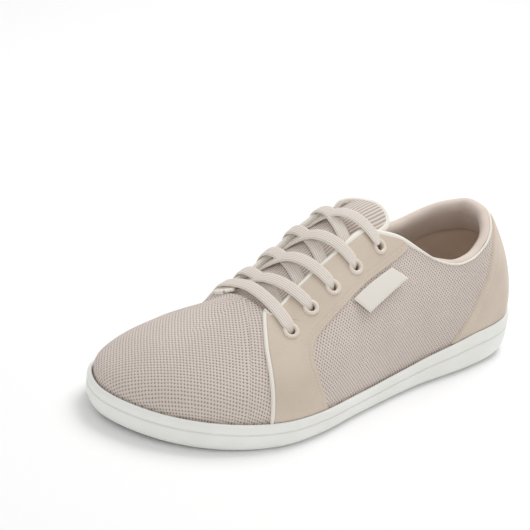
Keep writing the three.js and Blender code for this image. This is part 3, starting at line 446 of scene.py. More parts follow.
def frames_along(points, normals):
    tangent = unit(np.gradient(points, axis=0))
    across = unit(np.cross(tangent, normals))
    return across, np.cross(across, tangent)


def sweep(points, normals, section, widths, heights):
    """Rings of a section along points; its rows are shares across and up of the widths and heights."""
    across, upward = frames_along(points, normals)
    count = len(points)
    widths = np.broadcast_to(widths, count)[:, None, None]
    heights = np.broadcast_to(heights, count)[:, None, None]
    rings = points[:, None] + across[:, None] * section[None, :, :1] * widths
    rings = rings + upward[:, None] * section[None, :, 1:] * heights
    return rings


def tube_faces(count, size):
    ends = [list(range(size)), [(count - 1) * size + j for j in reversed(range(size))]]
    return grid_faces(count, size, closed_columns=True) + ends


def round_section(sides):
    angle = 2 * math.pi * (np.arange(sides) + 0.5) / sides
    return np.stack([np.cos(angle), np.sin(angle)], -1)


def flip(faces):
    return [face[::-1] for face in faces]


def outward(points, faces):
    """The faces turned so that the closed mesh they make has its inside inside."""
    p = np.asarray(points).reshape(-1, 3)
    volume = 0.0
    for size in {len(face) for face in faces}:
        group = np.array([face for face in faces if len(face) == size])
        for k in range(1, size - 1):
            volume += (p[group[:, 0]] * np.cross(p[group[:, k]], p[group[:, k + 1]])).sum()
    return faces if volume > 0 else flip(faces)


def sheet(top, bottom):
    """Points and faces of a sheet between two grids of points, closed round its edge."""
    rows, columns = top.shape[:2]
    count = rows * columns
    faces = grid_faces(rows, columns) + flip(grid_faces(rows, columns, start=count))
    loop = [i * columns for i in range(rows)] + [(rows - 1) * columns + j for j in range(1, columns)]
    loop += [i * columns + columns - 1 for i in range(rows - 2, -1, -1)] + [j for j in range(columns - 2, 0, -1)]
    faces += [[a, b, b + count, a + count] for a, b in zip(loop, loop[1:] + loop[:1])]
    points = np.concatenate([top.reshape(-1, 3), bottom.reshape(-1, 3)])
    return points, outward(points, faces)


def colour(red, green, blue):
    """Screen colour from 0 to 255 as the linear colour that a shader takes."""
    shares = [value / 255 for value in (red, green, blue)]
    return [s / 12.92 if s <= 0.04045 else ((s + 0.055) / 1.055) ** 2.4 for s in shares] + [1.0]


# Camera at the photograph's angle to the shoe: degrees, metres, and pixels of its 530 x 530 frame
FRAME_PIXELS = 530
CAMERA_AZIMUTH = -48.76
CAMERA_ELEVATION = 24.36
CAMERA_ROLL = 8.34
CAMERA_DISTANCE = 0.99716
CAMERA_FOCAL_PIXELS = 1757.4
TARGET = Vector((0, 0, 0.04))
TARGET_PIXEL = (320.5, 310.05)


def make_camera():
    a, e, r = (math.radians(value) for value in (CAMERA_AZIMUTH, CAMERA_ELEVATION, CAMERA_ROLL))
    back = Vector((math.sin(a) * math.cos(e), -math.cos(a) * math.cos(e), math.sin(e)))
    level = Vector((math.cos(a), math.sin(a), 0))
    right = math.cos(r) * level + math.sin(r) * back.cross(level)
    upward = back.cross(right)
    centre = FRAME_PIXELS / 2
    aside = (centre - TARGET_PIXEL[0]) / CAMERA_FOCAL_PIXELS
    above = (TARGET_PIXEL[1] - centre) / CAMERA_FOCAL_PIXELS
    axis = (back - right * aside - upward * above).normalized()
    across = upward.cross(axis).normalized()
    data = bpy.data.cameras.new("camera")
    data.lens = data.sensor_width * CAMERA_FOCAL_PIXELS / FRAME_PIXELS
    data.clip_start, data.clip_end = 0.05, 50
    camera = bpy.data.objects.new("camera", data)
    bpy.context.collection.objects.link(camera)
    turned = Matrix((across, axis.cross(across), axis)).transposed()
    camera.matrix_world = Matrix.Translation(TARGET + back * CAMERA_DISTANCE) @ turned.to_4x4()
    bpy.context.scene.camera = camera


make_camera()


# Materials
def new_material(name, roughness, sheen=0.0, specular=0.5):
    item = bpy.data.materials.new(name)
    item.use_nodes = True
    shader = item.node_tree.nodes["Principled BSDF"]
    shader.inputs["Roughness"].default_value = roughness
    shader.inputs["Sheen Weight"].default_value = sheen
    shader.inputs["Sheen Roughness"].default_value = 0.5
    shader.inputs["Specular IOR Level"].default_value = specular
    return item, item.node_tree, shader


def add(tree, kind, inputs=(), **settings):
    made = tree.nodes.new(kind)
    for key, value in settings.items():
        setattr(made, key, value)
    for key, value in dict(inputs).items():
        if isinstance(value, bpy.types.NodeSocket):
            tree.links.new(value, made.inputs[key])
        else:
            made.inputs[key].default_value = value
    return made


def maths(tree, operation, *values):
    return add(tree, "ShaderNodeMath", dict(enumerate(values)), operation=operation).outputs[0]


def noise(tree, per_mm, detail=2.0):
    """Noise over the surface, with a number of lumps to the millimetre."""
    place_in = add(tree, "ShaderNodeTexCoord").outputs["Object"]
    made = add(tree, "ShaderNodeTexNoise", {"Vector": place_in, "Scale": per_mm / MM, "Detail": detail})
    return made.outputs["Fac"]


def ramp(tree, value, low, high, start=0.0, end=1.0):
    inputs = {"Value": value, "From Min": low, "From Max": high, "To Min": start, "To Max": end}
    return add(tree, "ShaderNodeMapRange", inputs, interpolation_type="SMOOTHSTEP").outputs["Result"]


def blend_colours(tree, share, first, second):
    made = add(tree, "ShaderNodeMix", data_type="RGBA")
    for key, value in (("Factor", share), ("A", first), ("B", second)):
        kind = "VALUE" if key == "Factor" else "RGBA"
        socket = [s for s in made.inputs if s.name == key and s.type == kind][0]
        if isinstance(value, bpy.types.NodeSocket):
            tree.links.new(value, socket)
        else:
            socket.default_value = value
    return [s for s in made.outputs if s.type == "RGBA"][0]


def mottled(tree, per_mm, first, second, detail=2.0):
    """Slow change between two screen colours."""
    return blend_colours(tree, ramp(tree, noise(tree, per_mm, detail), 0.3, 0.7), colour(*first), colour(*second))


def finish_material(tree, shader, tint, height=None, depth_mm=0.1, strength=1.0):
    tree.links.new(tint, shader.inputs["Base Color"])
    if height is not None:
        inputs = {"Height": height, "Distance": depth_mm * MM, "Strength": strength}
        tree.links.new(add(tree, "ShaderNodeBump", inputs).outputs["Normal"], shader.inputs["Normal"])


def uv_axes(tree):
    uv = add(tree, "ShaderNodeTexCoord").outputs["UV"]
    axes = add(tree, "ShaderNodeSeparateXYZ", {"Vector": uv})
    return axes.outputs["X"], axes.outputs["Y"]


def wave(tree, value, length):
    return maths(tree, "COSINE", maths(tree, "MULTIPLY", value, 2 * math.pi / length))


# Mesh cloth: distance between holes along a row, and between rows
HOLE_PITCH = 2.15
HOLE_ROW = 1.35


def make_mesh_cloth():
    item, tree, shader = new_material("mesh_cloth", 0.9, sheen=0.15, specular=0.25)
    u, v = uv_axes(tree)
    wobble = maths(tree, "MULTIPLY", maths(tree, "SUBTRACT", noise(tree, 0.35), 0.5), 0.5)
    along = wave(tree, maths(tree, "ADD", u, wobble), HOLE_PITCH)
    lattice = maths(tree, "MULTIPLY", along, wave(tree, v, 2 * HOLE_ROW))
    fuzz = maths(tree, "MULTIPLY", maths(tree, "SUBTRACT", noise(tree, 1.4), 0.5), 0.5)
    lattice = maths(tree, "ADD", lattice, fuzz)
    # Painted shade: the holes of the mesh take a dark colour that stands in for the shade inside them
    hole_shade = ramp(tree, lattice, 0.35, 0.85)
    yarn = mottled(tree, 0.02, (222, 209, 200), (214, 202, 194))
    # Painted highlight: the yarn is lightened where its bump stands highest
    yarn = blend_colours(tree, ramp(tree, lattice, -1.0, 0.2, 0.22, 0.0), yarn, colour(238, 229, 221))
    tint = blend_colours(tree, hole_shade, yarn, colour(140, 124, 113))
    height = maths(tree, "SUBTRACT", 1.0, ramp(tree, lattice, -0.6, 0.8))
    threads = maths(tree, "MULTIPLY", wave(tree, v, 0.6), 0.12)
    finish_material(tree, shader, tint, maths(tree, "ADD", height, threads), 0.35, 0.8)
    return item


def make_microfibre():
    item, tree, shader = new_material("microfibre", 0.85, sheen=0.25, specular=0.3)
    tint = mottled(tree, 0.04, (214, 200, 184), (206, 191, 174), 4.0)
    nap = ramp(tree, noise(tree, 1.6, 4.0), 0.35, 0.65)
    tint = blend_colours(tree, maths(tree, "MULTIPLY", nap, 0.18), tint, colour(190, 174, 156))
    finish_material(tree, shader, tint, nap, 0.05, 0.5)
    return item


def make_lining(name, light, dark):
    item, tree, shader = new_material(name, 0.85, sheen=0.3, specular=0.25)
    tint = mottled(tree, 0.05, light, dark, 3.0)
    weave = maths(tree, "ADD", noise(tree, 2.0, 2.0), maths(tree, "MULTIPLY", noise(tree, 0.5), 0.5))
    finish_material(tree, shader, tint, weave, 0.06, 0.4)
    return item


def make_ribbed(name, top, shaded_groove, across, across_depth, weave=0.0):
    """Ribbed textile: ribs that repeat over a distance across, and a fine weave along, with painted shade in the
    grooves between ribs.
    """
    item, tree, shader = new_material(name, 0.88, sheen=0.15, specular=0.25)
    u, v = uv_axes(tree)
    rib = wave(tree, v, across)
    # Painted shade: the groove colour darkens the hollows between ribs
    tint = blend_colours(tree, ramp(tree, rib, -1.0, 0.4), colour(*shaded_groove), colour(*top))
    fuzz = maths(tree, "MULTIPLY", noise(tree, 1.2), 0.3)
    height = maths(tree, "ADD", ramp(tree, rib, -1.0, 1.0), fuzz)
    if weave:
        height = maths(tree, "ADD", height, maths(tree, "MULTIPLY", wave(tree, u, weave), 0.18))
    finish_material(tree, shader, tint, height, across_depth, 0.8)
    return item


def make_rubber():
    item, tree, shader = new_material("sole_rubber", 0.48, specular=0.45)
    tint = mottled(tree, 0.03, (240, 240, 236), (234, 234, 229), 3.0)
    finish_material(tree, shader, tint, noise(tree, 1.5, 3.0), 0.02, 0.3)
    return item


def make_enamel():
    item, tree, shader = new_material("eyelet_enamel", 0.35, specular=0.5)
    tint = mottled(tree, 0.2, (229, 218, 205), (221, 209, 195))
    finish_material(tree, shader, tint, noise(tree, 0.8), 0.02, 0.3)
    return item


mesh_cloth = make_mesh_cloth()
microfibre = make_microfibre()
lining = make_lining("collar_lining", (222, 207, 196), (214, 198, 186))
interior = make_lining("inner_lining", (235, 217, 200), (224, 205, 188))
# For each ribbed cloth the second colour is painted shade in the grooves between its ribs
binding = make_ribbed("binding", (243, 239, 230), (233, 228, 218), 1.1, 0.06, weave=0.9)
lace_cloth = make_ribbed("lace_cloth", (234, 226, 217), (212, 201, 190), 1.15, 0.16, weave=0.8)
tongue_cloth = make_ribbed("tongue_cloth", (226, 216, 208), (184, 169, 158), 1.5, 0.35, weave=1.1)
label_cloth = make_ribbed("label_cloth", (232, 227, 219), (226, 220, 211), 0.5, 0.04)
thread = make_ribbed("thread", (226, 214, 201), (205, 192, 177), 0.4, 0.05)
rubber = make_rubber()
enamel = make_enamel()


# Soft troughs and ridges of the upper: side, share along, share up, how far each reaches
# along and up in shares, and its height in millimetres (below 0 for a trough)
FOLDS = [
    (OUTER, 0.735, 0.80, 0.012, 0.22, -0.35), (INNER, 0.735, 0.80, 0.012, 0.22, -0.35),
    (OUTER, 0.860, 0.55, 0.050, 0.25, 0.40), (OUTER, 0.300, 0.33, 0.070, 0.10, -0.60),
    (OUTER, 0.200, 0.50, 0.060, 0.05, 0.50), (OUTER, 0.480, 0.20, 0.100, 0.12, 0.50),
    (INNER, 0.450, 0.22, 0.110, 0.13, -0.60), (INNER, 0.250, 0.45, 0.060, 0.07, 0.50),
    (OUTER, 0.135, 0.37, 0.020, 0.02, 0.35), (INNER, 0.700, 0.25, 0.050, 0.12, 0.40),
]
TUCK = 0.3
TUCK_HEIGHT = 0.04


def relief(turn, up):
    share = (outline_point(turn)[..., 0] - outline_low[0]) / (outline_high[0] - outline_low[0])
    shift = np.asarray(turn, float) - HEEL_TURN
    side = np.where((shift % 1.0) < (TOE_TURN - HEEL_TURN), OUTER, INNER)
    total = -TUCK * np.exp(-(np.asarray(up) / TUCK_HEIGHT) ** 2)
    for fold_side, along, level, reach_along, reach_up, height in FOLDS:
        bump = np.exp(-((share - along) / reach_along) ** 2 - ((up - level) / reach_up) ** 2)
        total = total + np.where(side == fold_side, height * bump, 0)
    return total + np.where(side == INNER, inner_fall(turn, up, share), 0)


def skin(turn, up, out=0.0):
    """Outer face of the upper, with its folds and its tuck at the sole."""
    return last(turn, up, relief(turn, up) + out)


# Columns of the upper: rear part, throat end and toe, on both sides
THROAT_SHARE = (THROAT_FRONT - CROWN_START) / (CROWN_END - CROWN_START)
CORNER_SHARE = EYESTAY[EYESTAY_CORNER][0]
REAR_COLUMNS = 150
THROAT_COLUMNS = 16
TOE_COLUMNS = 50


def side_columns(side):
    corner_turn, throat_turn = turn_at(side, CORNER_SHARE), turn_at(side, THROAT_SHARE)
    return np.concatenate([
        np.linspace(HEEL_TURN, corner_turn, REAR_COLUMNS, endpoint=False),
        np.linspace(corner_turn, throat_turn, THROAT_COLUMNS, endpoint=False),
        np.linspace(throat_turn, side_end(side), TOE_COLUMNS),
    ])


outer_turns, inner_turns = side_columns(OUTER), side_columns(INNER)
column_turns = np.concatenate([outer_turns, inner_turns[1:-1][::-1]])
column_rims = rim_up(column_turns)
half_count = len(outer_turns)
closed_column = np.zeros(len(column_turns), bool)
closed_column[REAR_COLUMNS + THROAT_COLUMNS:half_count + TOE_COLUMNS - 1] = True
column_rims[closed_column] = 1.0
COLUMN_COUNT = len(column_turns)
mirror_column = (COLUMN_COUNT - np.arange(COLUMN_COUNT)) % COLUMN_COUNT


def refine(flat, picks, columns, rows):
    """A grid of places read off at other columns and at other shares of its rows."""
    lines = np.stack([read_off(columns, picks, line) for line in flat])
    old_rows = np.linspace(0, 1, len(flat))
    return np.stack([read_off(rows, old_rows, lines[:, c]) for c in range(len(columns))], 1)


def flat_cloth(skip, row_count, turns_count, start=None):
    """The upper laid flat as a pattern cut at the heel: places in millimetres for a coarse grid."""
    outer = np.arange(0, half_count, skip)
    outer = np.append(outer[outer < half_count - 1 - skip // 2], half_count - 1)
    picks = np.concatenate([outer, COLUMN_COUNT - outer[:-1][::-1]])
    rows = np.linspace(0, 1, row_count)
    column = picks % COLUMN_COUNT
    solid = last_bare(column_turns[column], rows[:, None] * column_rims[column])
    if start is None:
        span = np.linalg.norm(np.diff(solid, axis=0), axis=-1)
        down = np.concatenate([np.cumsum(span[::-1], axis=0)[::-1], np.zeros((1, len(picks)))])
        side = np.where(np.arange(len(picks)) < len(outer), 1, -1)
        side[len(outer) - 1] = 0
        bow = np.clip((solid[..., 0] + 10) / -130, 0, 1)
        flat = np.stack([middle[0] - solid[..., 0] + bow * down * 0.4, side * (down + 18)], -1)
    else:
        old_picks, old_flat = start
        flat = refine(old_flat, old_picks, picks, rows)
    index = np.arange(flat[..., 0].size).reshape(flat.shape[:2])
    pairs = [(index[:, :-1], index[:, 1:]), (index[:-1], index[1:]),
             (index[:-1, :-1], index[1:, 1:]), (index[:-1, 1:], index[1:, :-1])]
    toe = len(outer) - 1
    shut = [k for k in range(toe + 1) if closed_column[picks[k]]]
    joined = np.array([[index[-1, k], index[-1, 2 * toe - k]] for k in shut])
    a = np.concatenate([first.ravel() for first, _ in pairs] + [joined[:, 0]])
    b = np.concatenate([second.ravel() for _, second in pairs] + [joined[:, 1]])
    points = solid.reshape(-1, 3)
    rest = np.linalg.norm(points[a] - points[b], axis=-1)
    rest[-len(joined):] = 0
    q = flat.reshape(-1, 2)
    share = np.bincount(a, minlength=len(q)) + np.bincount(b, minlength=len(q))
    for _ in range(turns_count):
        gap = q[b] - q[a]
        length = np.maximum(np.linalg.norm(gap, axis=-1), 1e-6)
        move = gap * (0.5 * (length - rest) / length)[:, None]
        for k in (0, 1):
            push = np.bincount(a, move[:, k], len(q)) - np.bincount(b, move[:, k], len(q))
            q[:, k] += 1.7 * push / share
    return picks, q.reshape(flat.shape)


def cloth_places(row_count):
    picks, flat = flat_cloth(12, 13, 900)
    picks, flat = flat_cloth(5, 25, 700, (picks, flat))
    return refine(flat, picks, np.arange(COLUMN_COUNT), np.linspace(0, 1, row_count))


def make_upper():
    rows = np.linspace(0, 1, 47)
    columns = COLUMN_COUNT
    turn, share = np.meshgrid(column_turns, rows)
    up = share * column_rims
    uv = cloth_places(len(rows))
    layers, coords = [], []
    for out in (0.0, -UPPER_WALL):
        foot = footprint(column_turns, LIP_INSET + TUCK - out)
        skirt = place(foot[:, 0], foot[:, 1], footbed(foot[:, 0] / SOLE_LENGTH) + GAP)
        body = skin(turn, up, out)
        layers.append(np.concatenate([skirt[None], body]))
        coords.append(np.concatenate([uv[:1], uv]))
    count = len(rows) + 1
    front = grid_faces(count, columns, closed_columns=True)
    back = flip(grid_faces(count, columns, closed_columns=True, start=count * columns))
    inner, top = count * columns, (count - 1) * columns
    beside = [(j, (j + 1) % columns) for j in range(columns)]
    low = [[j, k, inner + k, inner + j] for j, k in beside]
    rim = [[top + k, top + j, inner + top + j, inner + top + k]
           for j, k in beside if not (closed_column[j] and closed_column[k])]
    points = np.concatenate([layer.reshape(-1, 3) for layer in layers])
    faces = front + back + flip(low) + flip(rim)
    owner = np.arange(len(points))
    for base in (top, inner + top):
        for j in np.nonzero(closed_column)[0]:
            if j >= half_count:
                owner[base + j] = base + mirror_column[j]
    kept, kinds = [], []
    for k, face in enumerate(faces):
        joined = []
        for index in face:
            if owner[index] not in joined:
                joined.append(int(owner[index]))
        if len(joined) > 2:
            kept.append(joined)
            kinds.append(0 if k < len(front) else 1)
    kept = outward(points, kept)
    return piece("upper_shell", points, kept, [mesh_cloth, interior], "mesh_fabric", ["upper"],
                 np.concatenate([c.reshape(-1, 2) for c in coords]), kinds)


# Panels laid over the upper, with their seams at these distances from an edge
PANEL_SEAMS = (1.7, 4.2)
COUNTER_SEAM = 2.2


def panel_columns(width, inner_count):
    """Shares across a panel, closer together near its two edges, where stitches sink in."""
    near = np.array([0, 0.12, 0.35, 0.8, 1.4, 1.9, 2.2, 2.5, 3.0, 3.6, 4.1, 4.4, 4.7, 5.3])
    scale = np.minimum(1, width / (2.4 * near[-1]))[:, None]
    low = near[None] * scale / width[:, None]
    inner = np.linspace(0, 1, inner_count + 2)[1:-1]
    inside = low[:, -1:] + inner[None] * (1 - 2 * low[:, -1:])
    return np.concatenate([low, inside, 1 - low[:, ::-1]], axis=1)


def sunk(distance, places, depth=0.25, spread=0.4):
    total = np.zeros_like(distance)
    for at in places:
        total = total - depth * np.exp(-((distance - at) / spread) ** 2)
    return total


def make_panel(name, edges, replaced, inner_count=30, front_rows=(), rear_rows=PANEL_SEAMS):
    front_turn, front_up, rear_turn, rear_up = edges
    chord = np.linalg.norm(last_bare(front_turn, front_up) - last_bare(rear_turn, rear_up), axis=-1)
    width = np.maximum(chord * 1.05, 1.0)
    t = panel_columns(width, inner_count)
    turn = mix(front_turn[:, None], rear_turn[:, None], t)
    up = mix(front_up[:, None], rear_up[:, None], t)
    from_front, from_rear = t * width[:, None], (1 - t) * width[:, None]
    middle_line = last_bare(mix(front_turn, rear_turn, 0.5), mix(front_up, rear_up, 0.5))
    run = run_along(middle_line)
    edge = np.minimum(np.minimum(from_front, from_rear), (run[-1] - run)[:, None])
    rounding = np.sqrt(np.clip(1 - (1 - np.clip(edge / 0.9, 0, 1)) ** 2, 0, 1))
    out = (OVERLAY + GAP + 0.1) * rounding - 0.1
    out = out + (sunk(from_front, front_rows) + sunk(from_rear, rear_rows)) * ease(0.9, 1.6, edge)
    top = skin(turn, up, out)
    bottom = skin(turn, up, np.full_like(out, -0.6))
    uv = np.stack([np.broadcast_to(run[:, None], t.shape), from_front], -1).reshape(-1, 2)
    return piece(name, *sheet(top, bottom), [microfibre], "microfibre", replaced, np.concatenate([uv, uv]))


def eyestay_edges(side, count=190):
    share = np.linspace(0, 1, count)
    marks = np.arange(len(EYESTAY)) / (len(EYESTAY) - 1)
    front_levels = [row[1] if row[1] < 1 else float(rim_up(turn_at(OUTER, row[0]))[0]) for row in EYESTAY]
    front = curve([(m, row[0]) for m, row in zip(marks, EYESTAY)])(share)
    front_up = curve(list(zip(marks, front_levels)))(share)
    rear = curve([(m, row[2]) for m, row in zip(marks, EYESTAY)])(share)
    rear_up = curve([(m, row[3]) for m, row in zip(marks, EYESTAY)])(share)
    if side == INNER:
        back = curve([(m, row[4]) for m, row in zip(marks, EYESTAY)])(share)
        front, rear = front - back, rear - back
    front_turn, rear_turn = turn_at(side, front), turn_at(side, rear)
    corner = marks[EYESTAY_CORNER]
    on_rim = rim_up(front_turn)
    blend = ease(corner - 0.02, corner + 0.005, share)
    front_up = mix(front_up, np.minimum(on_rim, 0.98), blend)
    return front_turn, front_up, rear_turn, rear_up, share, corner


def counter_edges(count=70):
    seam = curve(COUNTER)
    up = np.linspace(COUNTER[0][0], COUNTER[-1][0], count)
    return turn_at(OUTER, seam(up)), up, turn_at(INNER, seam(up)), up


# Eyelets stand a distance from the edge of the throat
def eyelet_spots():
    spots = {}
    for side in (OUTER, INNER):
        for number, (outer_along, inner_along, inset) in enumerate(EYELETS, 1):
            x = (outer_along if side == OUTER else inner_along) * SOLE_LENGTH
            low, high = 0.05, 0.999
            for _ in range(24):
                level = (low + high) / 2
                inner = bool(is_open(last_bare(turn_at_distance(side, level, x), level)))
                low, high = (low, level) if inner else (level, high)
            rim = last_bare(turn_at_distance(side, high, x), high)
            across = float(middle[1] - rim[1]) + side * EYELET_INSET * inset
            turn, up = draped(side, x, across)
            spots[side, number] = dict(x=x, across=across, turn=float(turn), up=float(up))
    return spots


spots = eyelet_spots()


def spot_axes(spot, out):
    turn, up, d = spot["turn"], spot["up"], 0.004
    normal = unit(np.cross(skin(turn, up + d) - skin(turn, up - d), skin(turn + d, up) - skin(turn - d, up)))
    centre = skin(turn, up) + normal * out
    level = unit(np.cross(normal, np.array([0.0, 0.0, 1.0])))
    return centre, normal, level, np.cross(normal, level)


def lathe(centre, axes, profile, sides):
    """Closed ring round an axis from a closed profile of radius and height."""
    normal, first, second = axes
    angle = 2 * math.pi * np.arange(sides) / sides
    spoke = np.cos(angle)[:, None] * first + np.sin(angle)[:, None] * second
    profile = np.array(profile, float)
    points = centre + spoke[:, None] * profile[None, :, :1] + normal * profile[None, :, 1:]
    return points, grid_faces(sides, len(profile), closed_rows=True, closed_columns=True)


def join(parts):
    """Points and faces of several meshes as one."""
    points, faces = [], []
    for some, those in parts:
        start = sum(len(p) for p in points)
        points.append(np.asarray(some).reshape(-1, 3))
        faces.extend([[index + start for index in face] for face in outward(some, those)])
    return np.concatenate(points), faces


EYELET_SIDES = 44
EYELET_SEAT = OVERLAY + 2 * GAP
EYELET_PROFILE = [
    (2.25, -3.6), (2.75, -3.6), (2.75, -0.2), (4.55, -0.2), (4.60, 0.05), (4.50, 0.35), (4.25, 0.62), (3.90, 0.80),
    (3.45, 0.88), (3.00, 0.84), (2.62, 0.66), (2.38, 0.38), (2.27, 0.00),
]


def make_eyelets():
    for side in (OUTER, INNER):
        for number in range(1, len(EYELETS) + 1):
            centre, normal, first, second = spot_axes(spots[side, number], EYELET_SEAT - 0.25)
            points, faces = lathe(centre, (normal, first, second), EYELET_PROFILE, EYELET_SIDES)
            word = "outer" if side == OUTER else "inner"
            piece(f"eyelet_ring_{word}_{number}", points, outward(points, faces), [enamel], "eyelet_metal",
                  [f"eyelet_{word}_{number}"])


def cut_holes(thing, sides):
    """Round holes under the eyelets, through the panel and the wall."""
    parts = []
    for side in sides:
        for number in range(1, len(EYELETS) + 1):
            centre, normal, first, second = spot_axes(spots[side, number], 0)
            points, faces = lathe(centre, (normal, first, second), [(0, -6), (3.2, -6), (3.2, 6), (0, 6)], 24)
            points = points.reshape(-1, 4, 3)
            ends = np.concatenate([points[:, 1], points[:, 2]])
            count = len(points)
            walls = [[k, (k + 1) % count, count + (k + 1) % count, count + k] for k in range(count)]
            caps = [list(range(count)), [count + k for k in reversed(range(count))]]
            parts.append((ends, walls + flip(caps)))
    points, faces = join(parts)
    mesh = bpy.data.meshes.new("cutter")
    mesh.from_pydata((points * MM).tolist(), [], faces)
    cutter = bpy.data.objects.new("cutter", mesh)
    bpy.context.collection.objects.link(cutter)
    cut = thing.modifiers.new("holes", "BOOLEAN")
    cut.operation, cut.solver, cut.object = "DIFFERENCE", "MANIFOLD", cutter
    bpy.context.view_layer.update()
    made = bpy.data.meshes.new_from_object(thing.evaluated_get(bpy.context.evaluated_depsgraph_get()))
    thing.modifiers.clear()
    thing.data = made
    bpy.data.objects.remove(cutter)


# Edge bindings
def tube(name, points, normals, wide, thick, replaced, sides=18):
    rings = sweep(points, normals, round_section(sides), wide, thick)
    faces = tube_faces(len(points), sides)
    angle = np.arange(sides) / sides
    uv = np.stack(np.broadcast_arrays(run_along(points)[:, None], angle[None] * 8), -1)
    return piece(name, rings, outward(rings, faces), [binding], "piping_fabric", replaced, uv)


def rising(turn, up):
    step = 0.01
    return unit(last_bare(turn, up + step) - last_bare(turn, up - step))


def smooth(values, width):
    """Running mean with soft ends along the first axis."""
    reach = np.arange(-3 * width, 3 * width + 1)
    weights = np.exp(-(reach / width) ** 2)
    weights = weights / weights.sum()
    first, final = (np.repeat(end, 3 * width, 0) for end in (values[:1], values[-1:]))
    padded = np.concatenate([first, values, final])
    if values.ndim == 1:
        return np.convolve(padded, weights, "valid")
    return np.stack([np.convolve(padded[:, k], weights, "valid") for k in range(values.shape[1])], -1)


def opening_path(count=240, share=0.800):
    turns = np.concatenate([
        np.linspace(float(turn_at(OUTER, share)), HEEL_TURN, count, endpoint=False),
        np.linspace(HEEL_TURN, float(turn_at(INNER, share)), count + 1),
    ])
    return turns, rim_up(turns)


rim_turns, rim_levels = opening_path()
rim_x = middle[0] - last_bare(rim_turns, rim_levels)[:, 0]


def make_opening_binding():
    at = rim_x / SOLE_LENGTH
    at_collar = 1 - ease(0.33, 0.43, at)
    at_front = ease(0.31, 0.42, at) * (1 - ease(0.49, 0.56, at))
    half_height = 0.60 * at_collar + (1 - at_collar) * 1.25 + 0.75 * at_front
    half_depth = 0.75 * at_collar + (1 - at_collar) * 1.90
    out = -0.05 * at_collar + (1 - at_collar) * -0.30
    points = last(rim_turns, rim_levels, relief(rim_turns, rim_levels) + out)
    up = rising(rim_turns, rim_levels)
    points = smooth(points + up * (half_height * 0.35)[:, None], 2)
    normals = unit(smooth(last_normal(rim_turns, rim_levels), 3))
    return tube("opening_binding", points, normals, half_height, half_depth,
                ["collar_piping", "throat_piping_outer", "throat_piping_inner"])


def make_strip_binding(side):
    word = "outer" if side == OUTER else "inner"
    front_turn, front_up, _, _, share, corner = eyestay_edges(side)
    keep = share <= corner
    turn, up = front_turn[keep], np.maximum(front_up[keep], 0.0)
    ahead = 0.9 * side / outline_length
    points = skin(turn + ahead, up, 0.55)
    normals = last_normal(turn, up)
    return tube(f"strip_binding_{word}", points, normals, 1.15, 1.0, [f"strip_piping_{word}"])


# Padded collar: depth into the shoe and height over the rim, millimetres
PAD_SECTION = [
    (0.0, -23.0), (0.0, -14.0), (0.0, -5.0), (0.0, -0.6), (-1.2, 0.3), (-1.5, 1.0), (-0.9, 2.0), (0.5, 2.9),
    (2.2, 3.0), (3.9, 2.1), (5.2, 0.3), (5.8, -2.6), (5.8, -7.0), (5.2, -12.5), (4.0, -17.5), (2.4, -21.0),
    (1.0, -22.8),
]


def smooth_loop(corners, steps):
    p = np.array(corners, float)
    t = np.arange(len(p) * steps) / steps
    i = t.astype(int)
    w = (t - i)[:, None]
    a, b, c, d = (p[(i + k) % len(p)] for k in (-1, 0, 1, 2))
    bend, twist = 2 * a - 5 * b + 4 * c - d, 3 * b - a - 3 * c + d
    return 0.5 * (2 * b + (c - a) * w + bend * w ** 2 + twist * w ** 3)


def make_collar():
    section = smooth_loop(PAD_SECTION, 3)
    keep = rim_x / SOLE_LENGTH <= COLLAR_FRONT
    turn, level = rim_turns[keep], rim_levels[keep]
    count = len(turn)
    from_end = np.minimum(np.arange(count), np.arange(count)[::-1]) / 22
    full = ease(0, 1, from_end)
    step = 0.01
    rate = np.linalg.norm(last_bare(turn, level + step) - last_bare(turn, level - step), axis=-1) / (2 * step)
    up = rising(turn, level)
    low = np.minimum(section[:, 1], 0)[None] * mix(0.75, 1.0, full)[:, None] / rate[:, None]
    depth = section[:, 0][None] * mix(0.35, 1.0, full)[:, None]
    points = last(turn[:, None], level[:, None] + low, -UPPER_WALL - 0.1 - depth)
    above = np.maximum(section[:, 1], 0)[None] * mix(0.3, 1.0, full)[:, None]
    points = points + up[:, None] * above[..., None]
    faces = tube_faces(count, len(section))
    made = piece("collar_pad", points, outward(points, faces), [lining], "lining_fabric", ["collar_padding"])
    return made


# Tongue: share along it, share of the sole's length, half width, rise of its sides, depth under the last
TONGUE_FORM = [
    (0.00, 0.779, 20.0, 0.0, 3.4), (0.17, 0.702, 21.5, 0.0, 3.6), (0.40, 0.596, 21.0, 0.0, 3.8),
    (0.62, 0.500, 19.0, 0.0, 4.0), (0.82, 0.445, 18.5, 1.5, 4.4), (0.94, 0.422, 18.5, 5.0, 4.9),
    (1.00, 0.410, 18.5, 7.0, 5.2),
]
TONGUE_CORNER = 6.5
TONGUE_CORNER_START = 0.6
TONGUE_SKEW = 4.0
TONGUE_BINDING = 1.6


def tongue_surface(v, u):
    """Middle of the tongue at a share along it and a share across it, -1 to 1, with its normal."""
    rows = [curve(TONGUE_FORM, k) for k in (1, 2, 3, 4)]
    at, half, rise, depth = (row(v) for row in rows)
    near_tip = ease(0.45, 1.0, v)
    corner = np.clip((np.abs(u) - TONGUE_CORNER_START) / (1 - TONGUE_CORNER_START), 0, 1)
    x = at * SOLE_LENGTH + near_tip * (TONGUE_CORNER * (1 - np.sqrt(1 - corner ** 2)) - TONGUE_SKEW * u)
    across = crown_across(at) * BALL_WIDTH + u * half
    point, normal = saddle(x, across)
    point = point - normal * (depth + TONGUE_THICKNESS / 2 - 1.1)[..., None]
    point[..., 2] += rise * u * u * (1 - 0.4 * u)
    return point, normal


